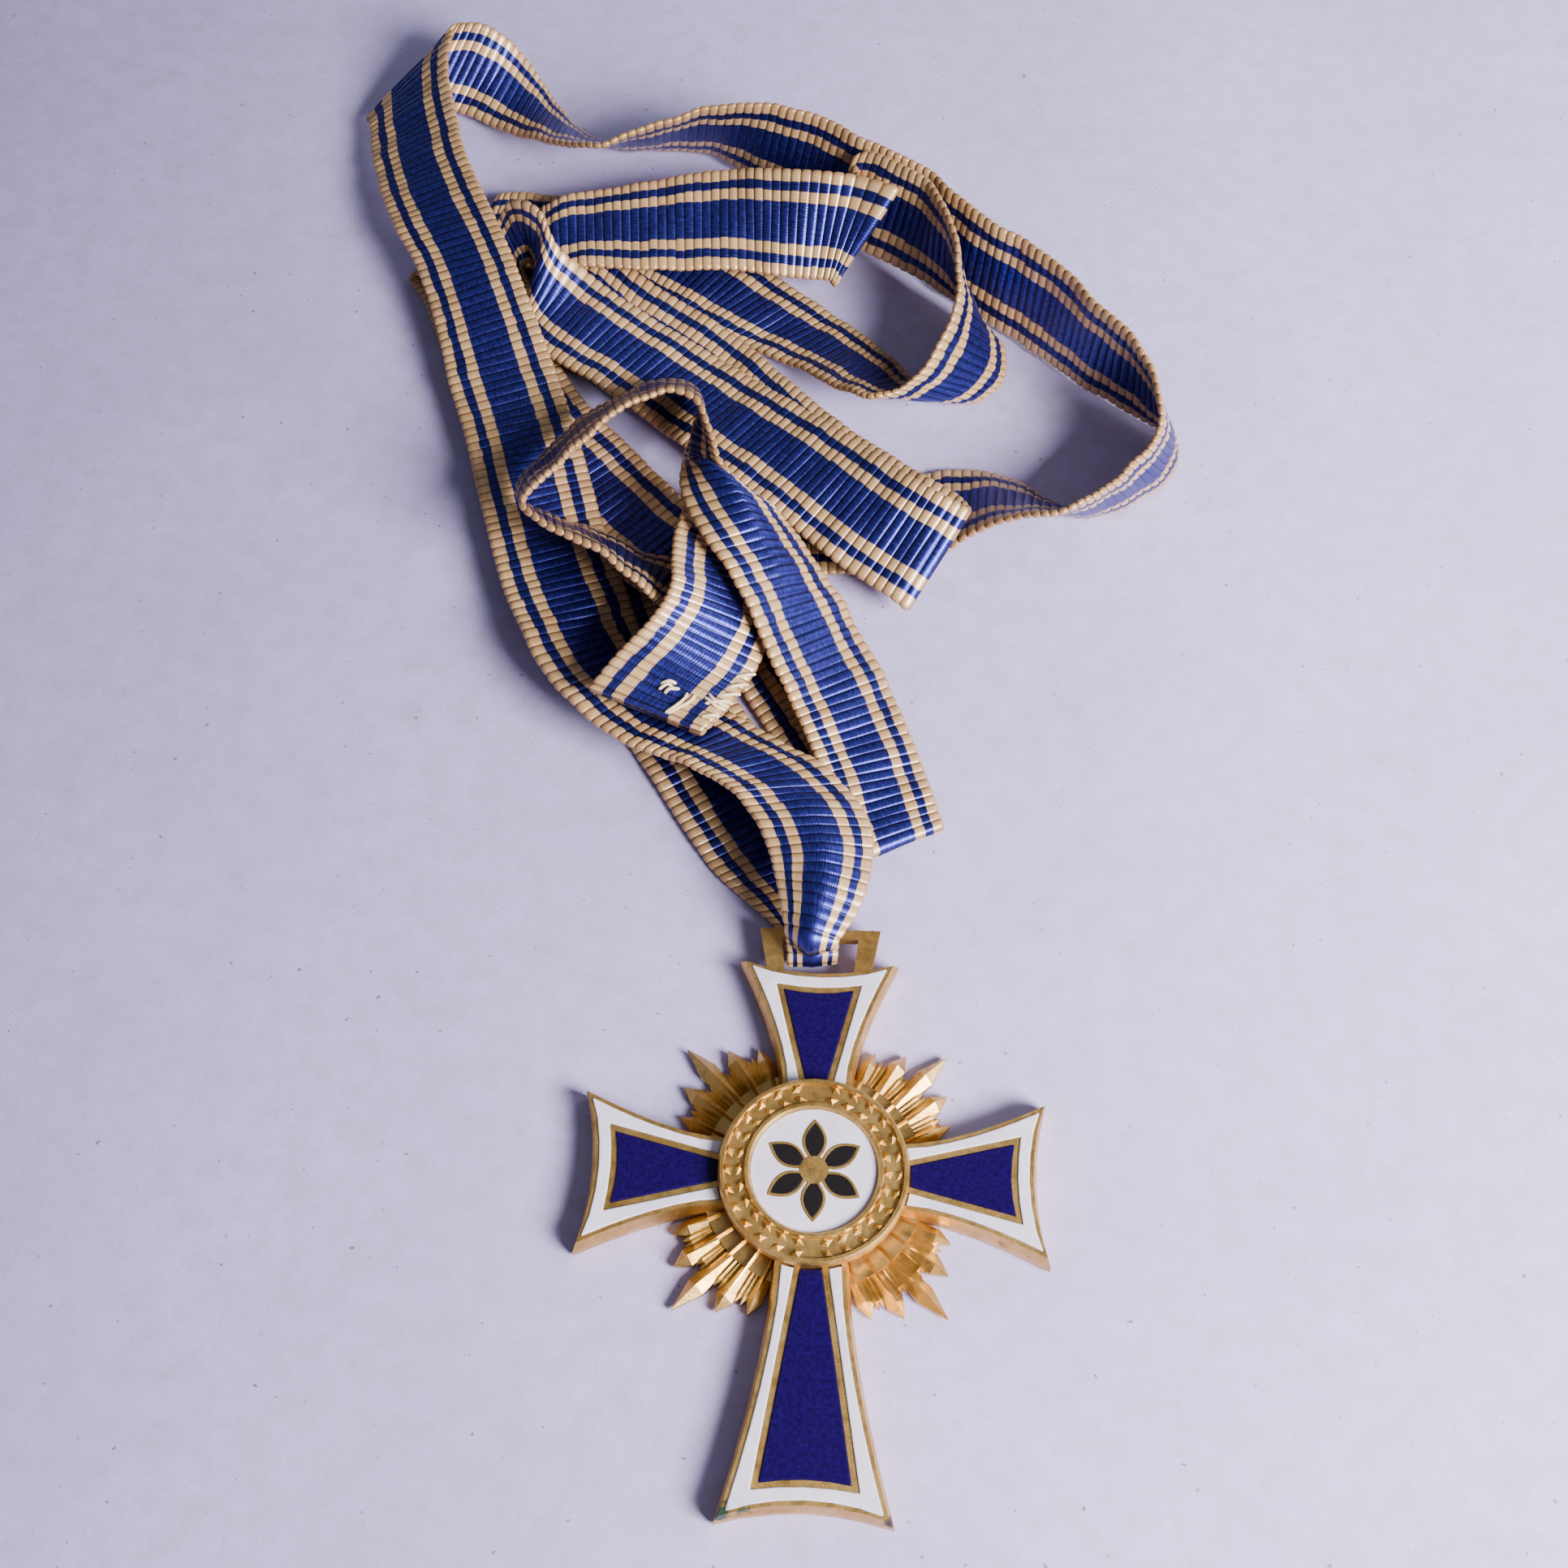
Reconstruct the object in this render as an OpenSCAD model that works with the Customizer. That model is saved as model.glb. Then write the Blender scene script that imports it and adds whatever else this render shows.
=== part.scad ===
// Enamelled long cross on a striped neck ribbon, lying flat on a table.
// Millimetres, +Z up from the table. +Y points from the foot of the cross up the ribbon.

/* [Cross] */
// Reach of the top arm from the centre to its corners
top_reach = 17.3; // [16:0.1:19]
// Reach of each side arm from the centre to its corners
side_reach = 17.5; // [16:0.1:19]
// Reach of the bottom arm from the centre to its corners
bottom_reach = 24.6; // [22:0.1:28]
// Width of an arm across its outer corners
arm_end_w = 12.5; // [11:0.1:14]
// Width of an arm where it leaves the medallion
arm_root_w = 5.6; // [5:0.1:6.4]
// Depth of the shallow hollow in the outer end of an arm
end_hollow = 0.9; // [0.4:0.1:1.5]
// Thickness of the gilt body of the cross
body_t = 2.2; // [1.8:0.1:2.6]

/* [Enamel] */
// Width of the gilt edge around the white enamel
rim_w = 0.6; // [0.5:0.05:0.7]
// Width of the gilt line between the white and the blue enamel
line_w = 0.45; // [0.3:0.05:0.5]
// Width of the blue enamel beside the medallion
blue_root_w = 1.6; // [1.2:0.1:2.2]
// Width of the white band along each side of the blue enamel, at the outer end
white_band_w = 1.25; // [1:0.05:1.6]
// Depth of the beds that hold the enamel
bed_depth = 0.45; // [0.3:0.05:0.7]

/* [Rays] */
// Reach of the long ray in the middle of each group
long_ray = 14.2; // [12.5:0.1:15]
// Reach of the two rays beside the long ray
middle_ray = 12.2; // [11:0.1:13]
// Reach of the two outer rays of a group
short_ray = 11.2; // [10:0.1:12]
// Reach of the thin rays between the broad ones
thin_ray = 10.8; // [9.5:0.1:11.5]
// Angle from one broad ray to the next
ray_pitch = 10.6; // [9.5:0.1:11.5]

/* [Medallion] */
// Outer diameter of the gilt ring
ring_d = 14.2; // [13:0.1:15]
// Diameter of the white enamel field inside the ring
field_d = 9.4; // [8.5:0.1:10]
// Leaves along each side of the wreath on the ring
leaf_pairs = 13; // [9:1:16]
// Petals of the rosette in the white field
petals = 6; // [5:1:8]

/* [Loop] */
// Width of the suspension loop across its outer top corners
loop_w = 9.5; // [8.5:0.1:11]
// Width of the slot that the ribbon passes through, at its top
slot_w = 6; // [5.6:0.1:6.6]
// Height of the loop's top edge above the centre of the cross
loop_top = 19.95; // [19.6:0.05:20.6]
// Depth of the bar that the ribbon hangs on
bar_w = 0.8; // [0.7:0.05:1]

/* [Ribbon] */
// Width of the ribbon
ribbon_w = 10; // [9.5:0.1:10.5]
// Thickness of the ribbon
ribbon_t = 1; // [0.8:0.05:1]
// Sections between two rows of the route
route_steps = 2; // [2:1:4]

/* [Hidden] */

// Gap left between neighbouring pieces
gap = 0.02;
// Overlap that makes cuts and unions clean
eps = 0.1;

// Place of the cross on the table, and its turn
cross_at = [5.2, -51.4, 0];
cross_turn = -2;
// Shift that puts the middle of the whole object over the origin
centring = [0.08, 3.7, 0];

// Arms: reach and direction of each, anticlockwise from the top
ARMS = [
    ["top", top_reach, 0],
    ["left", side_reach, 90],
    ["bottom", bottom_reach, 180],
    ["right", side_reach, 270]
];

// Radius at which the flare of an arm begins
flare_r = ring_d / 2;
// Exponent of the flare
flare_power = 1.5;
// Radius of the hub under the medallion
hub_r = 6.4;
// Distance from the arm's outer corners to the end of the blue enamel
blue_end = 2.55;
// Distance from the arm's outer corners to the outer edge of the white enamel
white_end = 0.6;
// Height of the enamel over the gilt rim
enamel_rise = 0.12;
// Radius inside which the medallion covers the arms
cover_r = ring_d / 2 + 0.1;

// Side points of an arm's outline, and points along its hollow end
side_points = 7;
end_points = 6;

// Half width of an arm at the distance r from the centre
function arm_half(r, reach) =
    let(along = max(0, (r - flare_r) / (reach - flare_r)))
    arm_root_w / 2 + (arm_end_w - arm_root_w) / 2 * pow(along, flare_power);

// Half width of the blue enamel at the distance r
function blue_half(r, reach) =
    let(
        end_r = reach - blue_end,
        end_half = arm_half(end_r, reach) - rim_w - white_band_w - line_w,
        along = (r - flare_r) / (end_r - flare_r)
    )
    blue_root_w / 2 + (end_half - blue_root_w / 2) * along;

// Height of the hollow end at the distance x from the arm's middle
function end_dip(x, half) = end_hollow * (1 - pow(x / half, 2));

// Outline of an arm that points along +Y, drawn in by inset
function arm_outline(reach, inset, start_r) =
    let(
        tip = reach - inset,
        half = arm_half(reach, reach) - inset,
        right = [
            for (i = [0:side_points - 1])
                let(r = start_r + (tip - start_r) * i / (side_points - 1))
                [arm_half(r, reach) - inset, r]
        ],
        end = [
            for (i = [1:end_points - 1])
                let(x = half * (1 - 2 * i / end_points))
                [x, tip - end_dip(x, half)]
        ],
        left = [for (i = [side_points - 1:-1:0]) [-right[i][0], right[i][1]]]
    )
    concat(right, end, left);

// Outline of the blue enamel, grown by margin
function blue_outline(reach, margin, start_r) =
    let(
        end_r = reach - blue_end + margin,
        root = blue_half(start_r, reach) + margin,
        end = blue_half(end_r, reach) + margin,
        dip = end_hollow / 3
    )
    [
        [root, start_r],
        [end, end_r],
        [end / 2, end_r - dip * 0.75],
        [0, end_r - dip],
        [-end / 2, end_r - dip * 0.75],
        [-end, end_r],
        [-root, start_r]
    ];

// Point turned about the origin
function turned(p, angle) = [
    p[0] * cos(angle) - p[1] * sin(angle),
    p[0] * sin(angle) + p[1] * cos(angle)
];

// Outline of the whole cross, drawn in by inset
function cross_outline(inset) =
    let(root = arm_root_w / 2 - inset)
    [
        for (arm = ARMS)
            let(outline = arm_outline(arm[1], inset, root))
            for (i = [0:len(outline) - 2])
                turned(outline[i], arm[2])
    ];

// Closed solid through outlines of equal length, each a list of points at one height
module loft(outlines, heights) {
    n = len(outlines[0]);
    levels = len(outlines);
    points = [
        for (k = [0:levels - 1])
            for (p = outlines[k])
                [p[0], p[1], heights[k]]
    ];
    bottom = [for (i = [0:n - 1]) i];
    top = [for (i = [n - 1:-1:0]) (levels - 1) * n + i];
    sides = [
        for (k = [0:levels - 2])
            for (i = [0:n - 1])
                let(a = k * n + i, b = k * n + (i + 1) % n)
                each [[a, a + n, b + n], [a, b + n, b]]
    ];
    polyhedron(points, concat([bottom, top], sides));
}

// Gilt arms in one solid: upright edge below, wide bevel above
module arms_body() {
    heights = [0, 0.3, 1.2, body_t];
    insets = [0.2, 0, 0, rim_w / 2];
    loft([for (inset = insets) cross_outline(inset)], heights);
}

// Flat plate with the outline of an arm
module arm_plate(reach, inset, start_r, low, high) {
    translate([0, 0, low])
        linear_extrude(high - low)
            polygon(arm_outline(reach, inset, start_r));
}

// Flat plate with the outline of the blue enamel
module blue_plate(reach, margin, start_r, low, high) {
    translate([0, 0, low])
        linear_extrude(high - low)
            polygon(blue_outline(reach, margin, start_r));
}

// Outline of the white enamel's outer edge, which leaves a gilt rim on the arm
module white_plate(reach, margin, start_r, low, high) {
    arm_plate(reach - white_end + rim_w, rim_w - margin, start_r, low, high);
}

// Beds cut into the face of one arm for its enamel
module arm_beds(reach) {
    low = body_t - bed_depth;
    high = body_t + 1;
    start_r = hub_r + 0.3;
    difference() {
        white_plate(reach, 0, start_r, low, high);
        blue_plate(reach, line_w, start_r - eps, low - eps, high + eps);
    }
    blue_plate(reach, 0, start_r, low, high);
}

// Suspension loop, open below, whose legs run into the end of the top arm
module loop() {
    low = 1.25;
    high = 2.15;
    foot = top_reach - end_hollow - 0.3;
    leg_out = loop_w / 2 - 0.7;
    leg_in = slot_w / 2 - 0.4;
    translate([0, 0, low])
        linear_extrude(high - low)
            difference() {
                polygon([[leg_out, foot], [loop_w / 2, loop_top], [-loop_w / 2, loop_top], [-leg_out, foot]]);
                polygon([
                    [leg_in, foot - 1],
                    [slot_w / 2, loop_top - bar_w],
                    [-slot_w / 2, loop_top - bar_w],
                    [-leg_in, foot - 1]
                ]);
            }
}

// Recess in the back of the cross for the plate that carries the rays
plate_r = 8.4;
plate_t = 1.1;

// Places what it holds where the cross lies
module on_table() {
    translate(cross_at + centring)
        rotate([0, 0, cross_turn])
            children();
}

// Struck body: four arms and the suspension loop in one piece
module cross() {
    color("#c08f4a")
        on_table()
            difference() {
                union() {
                    arms_body();
                    loop();
                }
                for (arm = ARMS)
                    rotate([0, 0, arm[2]])
                        arm_beds(arm[1]);
                translate([0, 0, -eps])
                    cylinder(r = plate_r + gap, h = plate_t + eps + gap, $fn = 64);
            }
}

// Length of the point of a long, a broad and a thin ray
long_point = 2.4;
broad_point = 1.2;
thin_point = 0.6;
// Half the angle that a broad and a thin ray take up
broad_half = 3.6;
thin_half = 1.35;

// One ray that points along +Y: upright edge, ridge on top, tapered point
module ray(reach, point, half_angle, ridge) {
    inner_r = 5.5;
    shoulder_r = reach - point;
    inner_half = inner_r * tan(half_angle);
    outer_half = shoulder_r * tan(half_angle);
    edge = 0.75;
    plan = [[inner_half, inner_r], [outer_half, shoulder_r], [0, reach], [-outer_half, shoulder_r], [-inner_half, inner_r]];
    low = [for (p = plan) [p[0], p[1], 0.25]];
    high = [for (p = plan) [p[0], p[1], edge]];
    spine = [[0, inner_r, ridge], [0, shoulder_r, ridge - 0.15]];
    faces = [
        [0, 1, 2, 3, 4],
        [0, 5, 6, 1],
        [1, 6, 7, 2],
        [2, 7, 8, 3],
        [3, 8, 9, 4],
        [4, 9, 10, 5, 0],
        [5, 10, 11, 6],
        [6, 11, 7],
        [7, 11, 8],
        [8, 11, 10, 9]
    ];
    polyhedron(concat(low, high, spine), faces);
}

// One group of rays, centred on +Y
module ray_group() {
    reaches = [short_ray, middle_ray, long_ray, middle_ray, short_ray];
    for (i = [0:4])
        rotate([0, 0, (i - 2) * ray_pitch])
            ray(reaches[i], i == 2 ? long_point : broad_point, broad_half, 1.55);
    for (i = [0:3])
        for (side = [-1, 1])
            rotate([0, 0, (i - 1.5) * ray_pitch + side * 1.15])
                ray(thin_ray, thin_point, thin_half, 1.15);
}

// Plate behind the arms with a group of rays in each corner
module ray_star() {
    color("#b98642")
        on_table()
            difference() {
                union() {
                    cylinder(r = plate_r, h = plate_t, $fn = 64);
                    cylinder(r = hub_r, h = body_t - gap, $fn = 48);
                    for (q = [0:3])
                        rotate([0, 0, 45 + 90 * q])
                            ray_group();
                }
                difference() {
                    translate([0, 0, -eps])
                        linear_extrude(body_t + 1)
                            polygon(cross_outline(-gap));
                    translate([0, 0, -2 * eps])
                        cylinder(r = plate_r + 2 * gap, h = plate_t + 2 * eps, $fn = 64);
                }
            }
}

// White enamel of one arm: a band along both sides and the outer end
module white_enamel(arm) {
    reach = arm[1];
    low = body_t - bed_depth + gap;
    high = body_t + enamel_rise;
    color("#dcdaea")
        on_table()
            rotate([0, 0, arm[2]])
                difference() {
                    white_plate(reach, -gap, hub_r + 0.4, low, high);
                    blue_plate(reach, line_w + gap, hub_r, low - eps, high + eps);
                    translate([0, 0, low - eps])
                        cylinder(r = cover_r, h = 2, $fn = 96);
                }
}

// Blue enamel wedge of one arm
module blue_enamel(arm) {
    reach = arm[1];
    low = body_t - bed_depth + gap;
    high = body_t + enamel_rise;
    color("#241a84")
        on_table()
            rotate([0, 0, arm[2]])
                difference() {
                    blue_plate(reach, -gap, hub_r + 0.4, low, high);
                    translate([0, 0, low - eps])
                        cylinder(r = cover_r, h = 2, $fn = 96);
                }
}

// Heights of the medallion: underside, floor of the wreath, rims
ring_low = body_t + gap;
ring_floor = ring_low + 0.85;
ring_rim = ring_low + 1.15;

// One laurel leaf that points along +X
module leaf() {
    length = 1.25;
    half = 0.36;
    rise = 0.34;
    polyhedron(
        [
            [0, 0, -0.05],
            [length * 0.45, half, -0.05],
            [length, 0, -0.05],
            [length * 0.45, -half, -0.05],
            [length * 0.5, 0, rise]
        ],
        [[0, 3, 2, 1], [1, 4, 0], [2, 4, 1], [3, 4, 2], [0, 4, 3]]
    );
}

// Two rows of leaves that climb both halves of the ring from the bottom
module wreath() {
    mid_r = (ring_d / 2 + field_d / 2) / 2 + 0.02;
    spread = 170 / leaf_pairs;
    translate([0, 0, ring_floor])
        for (half = [0, 1])
            mirror([half, 0, 0])
                for (i = [0:leaf_pairs - 1])
                    rotate([0, 0, -90 + 5 + spread * i])
                        for (side = [-1, 1])
                            translate([mid_r + side * 0.18, 0, 0])
                                rotate([0, 0, 90 - side * 24])
                                    leaf();
}

// Gilt ring with two rims and a laurel wreath between them
module medallion_ring() {
    outer = ring_d / 2;
    inner = field_d / 2 + gap;
    color("#c08f4a")
        on_table()
            union() {
                rotate_extrude($fn = 96)
                    polygon([
                        [inner, ring_low],
                        [outer, ring_low],
                        [outer, ring_floor],
                        [outer - 0.15, ring_rim],
                        [outer - 0.4, ring_rim],
                        [outer - 0.5, ring_floor],
                        [inner + 0.5, ring_floor],
                        [inner + 0.4, ring_rim],
                        [inner + 0.15, ring_rim],
                        [inner, ring_floor]
                    ]);
                wreath();
            }
}

// Pointed plan of one rosette petal along +Y, grown by margin
module petal_plan(margin) {
    start_r = 0.75 - 1.5 * margin;
    end_r = 3.65 + 1.5 * margin;
    half = 0.72 + margin;
    steps = 12;
    side = [
        for (i = [0:steps])
            [half * pow(sin(180 * i / steps), 0.9), start_r + (end_r - start_r) * i / steps]
    ];
    polygon(concat(side, [for (i = [steps - 1:-1:1]) [-side[i][0], side[i][1]]]));
}

// Plan of all petals of the rosette
module petal_ring(margin) {
    for (i = [0:petals - 1])
        rotate([0, 0, 360 / petals * i])
            petal_plan(margin);
}

// Plan of the black petals, cut short around the button
module petals_cut(margin) {
    difference() {
        petal_ring(-margin);
        circle(r = button_r + margin, $fn = 32);
    }
}

// Heights and line of the rosette
field_top = ring_low + 0.8;
frame_line = 0.16;
button_r = 1.05;

// White enamel field with the rosette left open
module medallion_field() {
    color("#dcdaea")
        on_table()
            translate([0, 0, ring_low])
                linear_extrude(field_top - ring_low)
                    difference() {
                        circle(r = field_d / 2, $fn = 96);
                        petal_ring(frame_line + gap);
                        circle(r = button_r + gap, $fn = 32);
                    }
}

// Gilt frame of the rosette, with a button in the middle
module rosette_frame() {
    color("#b98642")
        on_table()
            translate([0, 0, ring_low])
                linear_extrude(field_top - ring_low + 0.06)
                    difference() {
                        union() {
                            petal_ring(frame_line);
                            circle(r = button_r, $fn = 32);
                        }
                        petals_cut(0);
                    }
}

// Black enamel in the petals
module rosette_enamel() {
    color("#17171a")
        on_table()
            translate([0, 0, ring_low])
                linear_extrude(field_top - ring_low + 0.03)
                    petals_cut(gap);
}

// Route of the ribbon, a row for each section. Columns: x, y, z of the middle of the ribbon,
// azimuth and elevation in degrees of the line across it, then width and crease depth where
// the ribbon is gathered. Rows without the last two columns have the full width and no crease.
// Cut end that lies under the other end, where both are sewn together
seam = [
    [-8.4, -13.6, 5.7, 160, 8],
    [-6.3, -10.8, 5.65, 158, 16],
    [-4.5, -7.9, 5.4, 165, 25],
    [-3.2, -5.2, 5.3, 180, 31],
    [-3.9, -2.2, 5.4, 218, 34]
];
// Loop that stands on its edge at the left, and back over itself
left_loop = [
    [-6.8, -0.5, 5.8, 255, 36],
    [-9.6, 0.7, 6.5, 272, 41],
    [-12.9, 2.6, 7.35, 279, 43],
    [-15.9, 3.9, 7.45, 282, 46],
    [-18.5, 5.3, 7.55, 284, 46],
    [-19.7, 6.8, 7.55, 284, 45],
    [-19.3, 8.8, 7.45, 285, 44],
    [-17.1, 11.6, 7.45, 283, 42],
    [-14.8, 15, 7.15, 282, 41],
    [-12, 17.8, 6.85, 280, 45],
    [-9.3, 19.5, 6.95, 277, 44],
    [-6.9, 20, 6.95, 273, 44],
    [-5, 19.2, 6.95, 274, 44]
];
// Creased stretch that climbs over the sewn ends and slants down to the right
crossing = [
    [-4.2, 17, 6.8, 278, 40],
    [-3.9, 13.4, 6.6, 292, 36, 8.6, -1.2],
    [-3.2, 10.6, 6.7, 316, 20, 7.8, -2.2],
    [-2.2, 7.6, 6.9, 352, -4, 7.6, -2.4],
    [-0.4, 4.3, 6.9, 22, -20, 8.6, -1.6],
    [2.2, 0.4, 6.1, 33, -27, 9.4, -0.8],
    [4.2, -2.8, 4.85, 36, -23, 9.8, -0.2],
    [5.8, -6.1, 3.8, 37, -18, 9.6, 0],
    [7.7, -9.9, 2.95, 30, -13, 9.2, 0],
    [9.1, -13.6, 2.6, 25, -10, 8.8, 0],
    [10.3, -17, 2.42, 19, -9, 8.6, 0],
    [11.3, -20.7, 2.35, 21, -8, 8.6, 0]
];
// Fold beside the top of the suspension loop
crossing_fold = [
    [12.1, -24, 2.27, 27, -7, 8.9, 0]
];
// Stretch that runs back to the left, under the crossing
strand_p = [
    [11.8, -22.9, 0.85, 25, -1, 8.9, 0],
    [11.4, -21.6, 0.62, 27, 0, 9.2, 0],
    [10.3, -19.1, 0.55, 29, 0, 9.6, 0],
    [8.4, -14.4, 0.55, 32, 0],
    [6, -10, 0.6, 36, 0],
    [3.2, -5.4, 0.85, 38, -3],
    [0, -1.3, 1.2, 42, -7],
    [-3.8, 2.8, 1.35, 46, -8]
];
// Stretch up the left side, ending in a small arch
strand_d = [
    [-7, 5.6, 1.55, 46, -2],
    [-10, 8.4, 1.7, 45, -1],
    [-12.9, 11.7, 1.65, 42, 0],
    [-16.1, 15.5, 1.65, 38, 0],
    [-19.4, 19.6, 1.65, 33, 0],
    [-21.8, 23.8, 1.65, 29, 0, 9.6, 0],
    [-23.9, 28.4, 1.65, 24, 0, 9.4, 0],
    [-25.4, 33.6, 1.75, 16, -1, 9.2, 0],
    [-24.6, 37.2, 2.6, -7, -17, 6.8, 0],
    [-23.3, 40, 4.1, -52, -34, 4.8, 0],
    [-22.2, 40, 5.7, -56, -62, 6.2, 0],
    [-21.3, 39.5, 6.2, -80, -76, 6.8, 0],
    [-20.2, 37.8, 6.1, -116, -68, 6.8, 0]
];
// Long slanting stretch down to the right
strand_j = [
    [-20, 34.6, 4.9, -122, -36, 7.4, 0],
    [-18.2, 32.6, 3.5, -124, -8, 9.2, 0],
    [-15.3, 30.2, 3.1, -127, -2, 9.5, 0.2],
    [-12, 28, 2.65, -130, 0, 9.4, 0.1],
    [-8.5, 25.4, 2.4, -133, 0, 9.6, 0],
    [-4.6, 22, 2.5, -134, 0],
    [-0.8, 18.2, 3.4, -134, -3],
    [3.6, 13.9, 4.3, -134, -8],
    [7.4, 10.1, 4.7, -134, -16],
    [10.8, 6.7, 5, -132, -23],
    [13.2, 4.8, 4.95, -128, -25],
    [15.1, 3.5, 4.8, -127, -25, 10.2, 0]
];
// Fold at the lower tip of the slanting stretches
tongue_fold = [
    [16.4, 2.9, 4.2, -125, -25, 10.4, 0]
];
// Slanting stretch back to the upper left, beneath the last one
strand_k = [
    [15.3, 5.3, 3.47, -129, -25, 10.2, 0],
    [12.6, 7.2, 3.47, -128, -20, 10.5, 0],
    [9.3, 10.4, 3.3, -129, -12, 10.3, 0],
    [5.2, 14.6, 3.05, -131, -5],
    [0.5, 20.5, 2, -130, -5],
    [-3.6, 25.7, 1.35, -129, -3],
    [-7.9, 29.5, 1.38, -128, -4],
    [-12.2, 32.6, 1.5, -122, -7],
    [-15.8, 36.1, 1.8, -112, -10],
    [-18.4, 37.9, 1.95, -98, -9, 10.4, 0],
    [-20.1, 39.7, 2.4, -86, -12, 11.2, 0]
];
// Short stretch across the top, leaning back
strand_e = [
    [-19.2, 41.3, 3.7, -86, -8, 8.4, 0],
    [-17.4, 42, 3.9, -86, -8, 8.6, 0],
    [-14.5, 42.3, 4, -87, -8, 9, 0],
    [-11.4, 42.3, 4.2, -88, -10, 9.6, 0],
    [-7, 42.6, 4.4, -89, -16],
    [-1.6, 42.4, 5, -90, -25],
    [2.6, 41.2, 5.8, -92, -36],
    [6.2, 40.4, 6.2, -100, -42],
    [8.8, 39.8, 6.4, -112, -42]
];
// Double fold at the right end of the top stretch
top_fold = [
    [10.7, 38.7, 6.4, -136, -40, 10.9, 0],
    [8.7, 41.7, 5.25, -136, -50, 8.8, 0],
    [8.1, 43.6, 5.1, -136, -53, 8.8, 0],
    [8, 44.8, 5.3, -135, -56, 9, 0]
];
// Stretch that turns on its edge and comes down at the right
strand_g = [
    [9.7, 44.5, 6.05, -132, -60, 9.1, 0],
    [12.5, 42.4, 6.4, -129, -61, 9.3, 0],
    [15.5, 40.1, 6.5, -120, -67, 9.3, 0],
    [18, 36.9, 6.5, -90, -78, 9, 0],
    [19.5, 33.7, 6.35, 20, -80, 8.8, 0],
    [20.4, 31.2, 5.85, 32, -67, 9, 0],
    [21, 28.4, 5.1, 24, -53, 9.5, 0],
    [20.5, 25.7, 4.4, 18, -44, 9.8, 0],
    [19, 23.2, 3.85, 19, -37, 9.8, 0],
    [16.5, 21.4, 3.95, 27, -38, 9.3, 0],
    [13.8, 21.4, 4.1, 38, -35, 9.2, 0]
];
// Slanting stretch to the upper left, close to the table
strand_h = [
    [10.6, 24.9, 3, 49, -23, 9.1, 0],
    [7.1, 29.3, 1.35, 41, -8, 8.1, 0],
    [3.4, 32.5, 0.62, 37, 0, 8.6, 0],
    [-0.1, 35.1, 0.55, 41, 0, 9.5, 0],
    [-3.4, 37.8, 0.55, 49, 0],
    [-7.3, 40.6, 0.57, 62, 0, 10.5, 0],
    [-12, 43.2, 0.6, 76, 0],
    [-17, 44.2, 0.75, 84, 0],
    [-20.4, 44.4, 1.3, 86, 0],
    [-23.2, 44.3, 1.75, 84, 0],
    [-26.2, 44.1, 1.75, 76, 0, 10.4, 0]
];
// Fold at the upper left corner
corner_fold = [
    [-29, 43.6, 1.2, 52, 0, 12.4, 0]
];
// Lowest stretch, down the left side to the suspension loop
strand_b = [
    [-28.6, 41, 0.6, 30, 0, 10.8, 0],
    [-27.6, 38, 0.55, 20, 0, 9.4, 0],
    [-25.8, 33.6, 0.55, 19, 0, 9.6, 0],
    [-23.4, 27.4, 0.55, 19, 0],
    [-20.3, 20.4, 0.55, 21, 0],
    [-16.7, 13.6, 0.55, 21, 0],
    [-13.6, 7, 0.55, 16, 0],
    [-11.4, 0.5, 0.55, 15, 0],
    [-9.2, -5, 0.55, 24, 0],
    [-6.4, -10, 0.55, 30, 0],
    [-3.6, -14.6, 0.55, 30, 0],
    [-1, -19.4, 0.55, 30, 0, 9.6, 0],
    [1.7, -24, 0.55, 26, 0, 9, 0],
    [4, -27.6, 0.55, 15, 0, 7.6, 0],
    [4.9, -30.6, 0.55, 2, 0, 5.2, 0]
];
// Creased turn through the slot of the suspension loop
slot_pass = [
    [5.25, -32.9, 0.7, 2, 0, 4, 0.1],
    [5.2, -34, 1.75, 5, 0, 3.9, 0.3],
    [5.25, -33.1, 3, 0, 0, 4, 0.6]
];
// Stretch that leaves the suspension loop over its bar
strand_a = [
    [5.1, -33.3, 4.3, -15, 0, 4, 1],
    [5.8, -29.5, 5.2, -13, -2, 7, 1.2],
    [5.9, -25.9, 5.4, 4, -8, 8.5, 0.8],
    [4.9, -22.7, 5.35, 6, -9, 9.2, 0.4],
    [2.4, -19.3, 5.05, 16, -10, 8.8, 0],
    [-0.7, -16.9, 4.45, 26, -13, 8.2, 0],
    [-3.8, -14.7, 3.7, 38, -17, 8.4, 0],
    [-7.1, -12.7, 3.38, 46, -18, 9.3, 0]
];
// Long stretch up the left side
strand_c = [
    [-11.4, -8.6, 3.3, 40, -18],
    [-13.7, -5.1, 3.15, 28, -14],
    [-15.1, -1.6, 3, 20, -8],
    [-16.4, 1.6, 2.85, 18, 0],
    [-17.6, 5.4, 2.75, 16, 0],
    [-18.7, 9.4, 2.75, 15, 0],
    [-19.9, 13.8, 2.75, 15, 1],
    [-21.5, 19.5, 2.8, 17, 2, 9.8, 0],
    [-23.4, 25.1, 3.4, 14, 8, 9.7, 0],
    [-25.3, 31.1, 4.45, 12, 15, 9.2, 0],
    [-27.6, 37.4, 5.4, 3, 19, 9.4, 0],
    [-30.1, 42.8, 5.5, 4, 20, 9.8, 0],
    [-32.4, 48.9, 5, 6, 24, 9.8, 0],
    [-34, 55.2, 4.5, 8, 27],
    [-34.9, 60.1, 4.25, 20, 28]
];
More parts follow.
